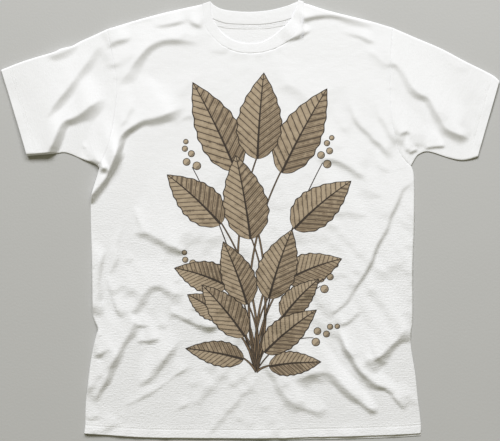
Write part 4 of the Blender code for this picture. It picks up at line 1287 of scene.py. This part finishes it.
# Leaves from the back of the fan to its front: place of the base, turn to the right in degrees, length,
# half width, and how far the tip bends to the right
LEAVES = [
    (-36, 352, -22, 172, 39, -12), (44, 348, 25, 168, 38, 10), (2, 372, 2, 152, 40, 6),
    (-62, 258, -41, 128, 35, -14), (66, 250, 43, 130, 35, 16), (-10, 232, -7, 150, 40, -8),
    (-50, 150, -62, 98, 29, -16), (52, 160, 60, 104, 30, 16), (22, 128, 14, 128, 35, 10),
    (-58, 96, -50, 74, 22, -10), (46, 96, 36, 92, 24, 12), (-16, 118, -16, 118, 30, -10),
    (-20, 62, -34, 118, 30, -12), (14, 34, 44, 118, 28, 14), (-22, 22, -74, 104, 23, -10),
    (22, 10, 80, 92, 22, 8),
]
LEAF_STEM, LEAF_STEM_BULGE = (6, 2.6), 0.09  # reach past the leaf's base, half width, bulge for its length
SPRAY_STEM, SPRAY_STEM_BULGE = (0, 1.5), 18  # the same, but the bulge in mm
# Sprays of berries: place of the first berry, and the direction the spray grows in, in degrees to the right
SPRAYS = [(-112, 358, -16), (116, 366, 18), (-104, 168, -30), (112, 150, 34), (100, 60, 62)]
BERRIES, BERRY_RADIUS, BERRY_SHRINKING = 5, 7.5, 0.09  # in a spray, each smaller than the one before
BERRY_STEP, BERRY_ASIDE = 11.5, 8.5


def local_place(wiring, taken):
    """Across and along a leaf or stem, in mm, and the share of its length passed."""
    inputs = {"Vector": taken["Place"], "Location": taken["Base"], "Rotation": taken["Turn"]}
    across, along, _ = wiring.parts(wiring.signal("Mapping", inputs, vector_type="TEXTURE"))
    return across, along, along / taken["Length"]


def laid_over(wiring, taken, given, inside, colour):
    """Covers what lies below with the colour, inside the shape."""
    wiring.feed(given["Colour"], wiring.blend(inside, taken["Below"], colour))
    wiring.feed(given["Cover"], taken["Cover"].most(inside))


SHAPE_TAKES = {"Place": "vector", "Base": "vector", "Turn": "vector", "Length": "float", "Width": "float",
               "Bend": "float", "Light": "colour", "Mid": "colour", "Line": "colour", "Below": "colour",
               "Cover": "float"}
SHAPE_GIVES = {"Colour": "colour", "Cover": "float"}


LEAF_SWELL, LEAF_FULLNESS = 0.6, 2.85  # how soon a leaf widens, and what brings its widest place to its width
RIPPLES, RIPPLE_DEPTH = 46.0, 0.035
VEINS, VEIN_SLANT, VEIN_WIDTH, VEIN_STRENGTH = 12.5, 0.85, 0.085, 0.85
OUTLINE, MIDRIB, MIDRIB_FOOT = 1.9, 0.7, 1.5
MOTTLING = (0.09, 4.0, 0.65)  # scale, detail and roughness
WOBBLE = 3.0  # how far the mottling bends veins and hatching, in mm
DARK_HALF, VEIN_SHADE, FOOT_SHADE, MOTTLE_SHADE = 0.28, 0.55, 0.25, 1.3
HATCH_PITCH, HATCH_WIDTH, HATCH_FROM, HATCH_STRENGTH = 4.1, 0.46, 0.42, 0.5
STEM_TIP, STEM_OUTLINE = 0.55, 1.2
BERRY_RIM, BERRY_HATCH, BERRY_SHADED_FROM = 1.3, 2.2, 1.5
WEAR = (0.7, 3.0, 0.6)  # of the print: scale, detail and roughness
WEAR_STRENGTH = 0.05
STREAK_FADE = (-120.0, 160.0, 1.0, 0.15)  # two heights on the shirt, and how strong the streaks are at each
FLOOR_TONES, FLOOR_DARK = (9.0, 5.0, 0.6), 0.97  # scale, detail and roughness, and the share of the colour
FLOOR_GRAIN, FLOOR_BUMP = (260.0, 3.0), 0.0002
# The thread's twist: scale, wobble, the share of the colour left in its grooves as painted shade, and its
# bump
THREAD_TWIST, THREAD_WOBBLE, THREAD_GROOVE_SHADE, THREAD_BUMP = 1900.0, 0.6, 0.9, 0.00006


def leaf_group():
    """One broad leaf: outline, midrib, side veins, and hatching over a mottled tone."""
    wiring, taken, given = new_group("leaf", SHAPE_TAKES, SHAPE_GIVES)
    across, along, passed = local_place(wiring, taken)
    passed = passed.most(0.0)
    left = 1.0 - passed
    across = across - taken["Bend"] * (passed * passed)
    from_rib = abs(across)
    profile = passed**LEAF_SWELL * left * LEAF_FULLNESS
    from_edge = taken["Width"] * profile * (1.0 + (passed * RIPPLES).sine() * RIPPLE_DEPTH) - from_rib
    mottle = wiring.noise(taken["Place"], *MOTTLING)
    sweep = along - from_rib * VEIN_SLANT + mottle * WOBBLE
    from_vein = abs((sweep / (taken["Length"] / VEINS)).fraction() - 0.5)
    depth = ((across > 0.0) * DARK_HALF + (0.5 - from_vein) * VEIN_SHADE + left * FOOT_SHADE
             + (mottle - 0.5) * MOTTLE_SHADE)
    hatch = (sweep / HATCH_PITCH).fraction() < HATCH_WIDTH
    hatched = hatch * ((depth > HATCH_FROM) * HATCH_STRENGTH)
    midrib = from_rib < MIDRIB + left * MIDRIB_FOOT
    lines = (from_edge < OUTLINE).most(midrib).most((from_vein < VEIN_WIDTH) * VEIN_STRENGTH)
    toned = wiring.blend(depth, taken["Light"], taken["Mid"])
    laid_over(wiring, taken, given, from_edge > 0.0, wiring.blend(lines.most(hatched), toned, taken["Line"]))
    return wiring.tree


def stem_group():
    """One thin stem that bulges to one side between its ends."""
    wiring, taken, given = new_group("stem", SHAPE_TAKES, SHAPE_GIVES)
    across, _, passed = local_place(wiring, taken)
    left = 1.0 - passed
    from_middle = abs(across - passed * left * 4.0 * taken["Bend"])
    from_edge = taken["Width"] * (STEM_TIP + left * (1 - STEM_TIP)) - from_middle
    inside = (from_edge > 0.0) * ((passed > 0.0) * (left > 0.0))
    drawn = from_edge < STEM_OUTLINE
    laid_over(wiring, taken, given, inside, wiring.blend(drawn, taken["Mid"], taken["Line"]))
    return wiring.tree


def berry_group():
    """One round berry with a dark rim, a shaded lower side and a light spot. Its width is its radius."""
    wiring, taken, given = new_group("berry", SHAPE_TAKES, SHAPE_GIVES)
    across, along, _ = local_place(wiring, taken)
    from_edge = taken["Width"] - (across * across + along * along).root()
    hatch = ((across + along) / BERRY_HATCH).fraction() < 0.5
    drawn = (from_edge < BERRY_RIM).most(hatch * (across - along > BERRY_SHADED_FROM))
    laid_over(wiring, taken, given, from_edge > 0.0, wiring.blend(drawn, taken["Light"], taken["Line"]))
    return wiring.tree


def stem_to(x, y, past, width, bulge):
    """A stem from the foot of the fan to a place, bulging towards the middle."""
    length = math.hypot(x, y)
    return "stem", (0.0, 0.0), math.degrees(math.atan2(x, y)), length + past, width, -math.copysign(bulge, x)


def printed_shapes():
    """Every stem, berry and leaf from back to front: kind, base, turn in degrees, length, width, bend."""
    shapes = [stem_to(x, y, *LEAF_STEM, math.hypot(x, y) * LEAF_STEM_BULGE) for x, y, *_ in LEAVES]
    for x, y, turn in SPRAYS:
        shapes.append(stem_to(x, y, *SPRAY_STEM, SPRAY_STEM_BULGE))
        out = np.array((math.sin(math.radians(turn)), math.cos(math.radians(turn))))
        aside = np.array((out[1], -out[0]))
        for k in range(BERRIES):
            sway = aside * BERRY_ASIDE * (-1) ** k * (1 - k / BERRIES)
            place = np.array((x, y)) + out * (BERRY_STEP * k) + sway
            shapes.append(("berry", tuple(place), 0.0, 1.0, BERRY_RADIUS * (1 - BERRY_SHRINKING * k), 0.0))
    return shapes + [("leaf", (x, y), *rest) for x, y, *rest in LEAVES]


def printed_material(name, colours):
    """Jersey with the leaf print on it."""
    found, wiring, shader, knit, place, shade = knit_cloth(name, colours.jersey, 1.0)
    _, y, _ = wiring.parts(place)
    wiring.feed(knit.inputs["Streaks"], wiring.signal("MapRange", dict(enumerate((y, *STREAK_FADE)))))
    groups = {"leaf": leaf_group(), "stem": stem_group(), "berry": berry_group()}
    tones = {"Light": tint(colours.ink_light), "Mid": tint(colours.ink), "Line": tint(colours.ink_line)}
    foot = (*(v / MM for v in PRINT_FOOT), 0.0)
    place = wiring.signal("VectorMath", {0: place, 1: foot}, operation="SUBTRACT")
    below, cover = tones["Mid"], 0.0
    for kind, (x, y), turn, length, width, bend in printed_shapes():
        inputs = {"Place": place, "Base": (x, y, 0.0), "Turn": (0.0, 0.0, -math.radians(turn)),
                  "Length": length, "Width": width, "Bend": bend, "Below": below, "Cover": cover, **tones}
        shape = wiring.signals(wiring.node("Group", inputs, node_tree=groups[kind]).outputs)
        below, cover = shape["Colour"], shape["Cover"]
    held = 1.0 - wiring.noise(place, *WEAR) * WEAR_STRENGTH
    wiring.feed(shader.inputs["Base Color"], wiring.blend(cover * held, shade, below))
    return found


def floor_material(name, colour):
    """A plain painted floor, very slightly uneven."""
    found, wiring, shader = new_material(name, {"Roughness": 0.75})
    place = wiring.signal("TexCoord", {}, output="Object")
    tones = wiring.noise(place, *FLOOR_TONES)
    wiring.feed(shader.inputs["Base Color"], wiring.blend(tones, tint(colour, FLOOR_DARK), tint(colour)))
    wiring.bump(shader, wiring.noise(place, *FLOOR_GRAIN), FLOOR_BUMP)
    return found


def thread_material(name, colour):
    """Twisted sewing thread, with painted shade: the grooves of its twist are coloured darker."""
    found, wiring, shader = new_material(name, {"Roughness": 0.6, "Sheen Weight": 0.1})
    place = wiring.signal("TexCoord", {}, output="Object")
    inputs = {"Vector": place, "Scale": THREAD_TWIST, "Distortion": THREAD_WOBBLE}
    twist = wiring.signal("TexWave", inputs, output="Fac", bands_direction="DIAGONAL")
    # painted shade: the low side of the twist, its grooves, is coloured darker
    wiring.feed(shader.inputs["Base Color"], wiring.blend(twist, tint(colour, THREAD_GROOVE_SHADE), tint(colour)))
    wiring.bump(shader, twist, THREAD_BUMP)
    return found


# ---- Floor, lights and camera ----

FLOOR_HALF, FLOOR_Z = 4.0, -0.0004
VIEW_MIDDLE = (-0.0005, -0.0012)
LENS, SENSOR = 85.0, 36.0
LAMP_COLOUR, FILL_COLOUR = (0.952, 0.96, 1.0), (1.0, 0.945, 0.6)
KEY_PLACE, KEY_SPREAD = (-0.3, 0.94, 0.86), math.radians(24)
SOFTBOX_PLACE, SOFTBOX_SIZE = (0.3, 2.3, 1.9), (1.8, 0.9)


def make_floor(stage):
    mesh = bpy.data.meshes.new("floor")
    corners = [(x * FLOOR_HALF, y * FLOOR_HALF, FLOOR_Z) for x, y in ((-1, -1), (1, -1), (1, 1), (-1, 1))]
    mesh.from_pydata(corners, [], [(0, 1, 2, 3)])
    mesh.materials.append(floor_material("floor", stage.floor))
    floor = bpy.data.objects.new("floor", mesh)
    bpy.context.scene.collection.objects.link(floor)


def make_lamp(name, kind, power, place, **settings):
    """A lamp that points at the middle of the shirt."""
    lamp = bpy.data.lights.new(name, kind)
    lamp.energy, lamp.color = power, LAMP_COLOUR
    for key, value in settings.items():
        setattr(lamp, key, value)
    found = bpy.data.objects.new(name, lamp)
    found.location = place
    found.rotation_euler = (-found.location).to_track_quat("-Z", "Y").to_euler()
    bpy.context.scene.collection.objects.link(found)


def make_fill(stage):
    world = bpy.data.worlds.new("studio")
    world.use_nodes = True
    background = world.node_tree.nodes["Background"]
    background.inputs["Color"].default_value = (*FILL_COLOUR, 1.0)
    background.inputs["Strength"].default_value = stage.fill_strength
    bpy.context.scene.world = world


def make_camera(stage):
    data = bpy.data.cameras.new("camera")
    data.lens, data.sensor_width = LENS, SENSOR
    camera = bpy.data.objects.new("camera", data)
    camera.location = (*VIEW_MIDDLE, stage.view_width * LENS / SENSOR)
    bpy.context.scene.collection.objects.link(camera)
    bpy.context.scene.camera = camera


# ---- Operators and panel ----


def shared(name, make, *takes):
    """A material or node group by name, made on first use."""
    for kept in (bpy.data.materials, bpy.data.node_groups):
        if name in kept:
            return kept[name]
    return make(name, *takes)


def jersey_material():
    colours = bpy.context.scene.shirt_colours
    return shared("knitted jersey", plain_cloth, colours.jersey, JERSEY_STREAKS)


def thread():
    return shared("sewing thread", thread_material, bpy.context.scene.shirt_colours.thread)


def check_closed(piece):
    """Stops the operator if a piece came out with an open edge."""
    mesh = bmesh.new()
    mesh.from_mesh(piece.data)
    open_edges = sum(not edge.is_manifold for edge in mesh.edges)
    mesh.free()
    if open_edges:
        raise RuntimeError(f"{piece.name} has {open_edges} open edges")


class SHIRT_OT_body(bpy.types.Operator):
    """Adds the front with its folds and print, and the back under it"""

    bl_idname = "shirt.body"
    bl_label = "Front and back"

    def execute(self, context):
        colours = context.scene.shirt_colours
        printed = shared("printed jersey", printed_material, colours)
        check_closed(front_piece(printed))
        check_closed(back_piece(jersey_material()))
        return {"FINISHED"}


class SHIRT_OT_sleeves(bpy.types.Operator):
    """Adds both sleeves, flattened, with their hems"""

    bl_idname = "shirt.sleeves"
    bl_label = "Sleeves"

    def execute(self, context):
        for side in SLEEVES:
            check_closed(sleeve_piece(side, jersey_material()))
        return {"FINISHED"}


class SHIRT_OT_collar(bpy.types.Operator):
    """Adds the ribbed collar and the tape inside the back of the neck"""

    bl_idname = "shirt.collar"
    bl_label = "Collar and tape"

    def execute(self, context):
        colour = context.scene.shirt_colours.jersey
        check_closed(collar_piece(shared("knitted rib", plain_cloth, colour, RIB_STREAKS)))
        check_closed(tape_piece(shared("woven tape", plain_cloth, colour, TAPE_STREAKS, TAPE_TINT)))
        return {"FINISHED"}


class SHIRT_OT_stitching(bpy.types.Operator):
    """Adds the rows of stitches at the hems and on the tape"""

    bl_idname = "shirt.stitching"
    bl_label = "Stitching"

    def execute(self, context):
        check_closed(hem_stitches("hem_stitching", HEM, body_layer(), 1, thread()))
        for side, inward in (("left", -1), ("right", 1)):
            cuff = SLEEVES[side][4]
            check_closed(hem_stitches(f"{side}_cuff_stitching", cuff, sleeve_layer(side), inward, thread()))
        check_closed(tape_stitches(thread()))
        return {"FINISHED"}


class SHIRT_OT_stage(bpy.types.Operator):
    """Adds the floor, the lights and the camera straight above"""

    bl_idname = "shirt.stage"
    bl_label = "Floor, lights and camera"

    def execute(self, context):
        stage = context.scene.shirt_stage
        make_floor(stage)
        make_lamp("key", "SUN", stage.key_strength, KEY_PLACE, angle=KEY_SPREAD)
        make_lamp("top softbox", "AREA", stage.softbox_power, SOFTBOX_PLACE, shape="RECTANGLE",
                  size=SOFTBOX_SIZE[0], size_y=SOFTBOX_SIZE[1])
        make_fill(stage)
        make_camera(stage)
        context.scene.view_settings.view_transform = "Standard"
        return {"FINISHED"}


OPERATORS = (SHIRT_OT_body, SHIRT_OT_sleeves, SHIRT_OT_collar, SHIRT_OT_stitching, SHIRT_OT_stage)


class SHIRT_PT_panel(bpy.types.Panel):
    """Lists the sizes and colours of the shirt, and the steps that make it"""

    bl_idname = "SHIRT_PT_panel"
    bl_label = "T-shirt"
    bl_space_type = "VIEW_3D"
    bl_region_type = "UI"
    bl_category = "T-shirt"

    def draw(self, context):
        for name in PROPERTIES:
            settings = getattr(context.scene, name)
            box = self.layout.box()
            for key in settings.bl_rna.properties.keys():
                if key not in ("rna_type", "name"):
                    box.prop(settings, key)
        for operator in OPERATORS:
            self.layout.operator(operator.bl_idname)


PROPERTIES = {"shirt_cloth": ShirtCloth, "shirt_colours": ShirtColours, "shirt_stage": ShirtStage}
CLASSES = (*PROPERTIES.values(), *OPERATORS, SHIRT_PT_panel)


def register():
    for cls in CLASSES:
        bpy.utils.register_class(cls)
    for name, group in PROPERTIES.items():
        setattr(bpy.types.Scene, name, PointerProperty(type=group))


def unregister():
    for name in PROPERTIES:
        delattr(bpy.types.Scene, name)
    for cls in reversed(CLASSES):
        bpy.utils.unregister_class(cls)


def main():
    register()
    bpy.ops.shirt.body()
    bpy.ops.shirt.sleeves()
    bpy.ops.shirt.collar()
    bpy.ops.shirt.stitching()
    bpy.ops.shirt.stage()


if __name__ == "__main__":
    main()
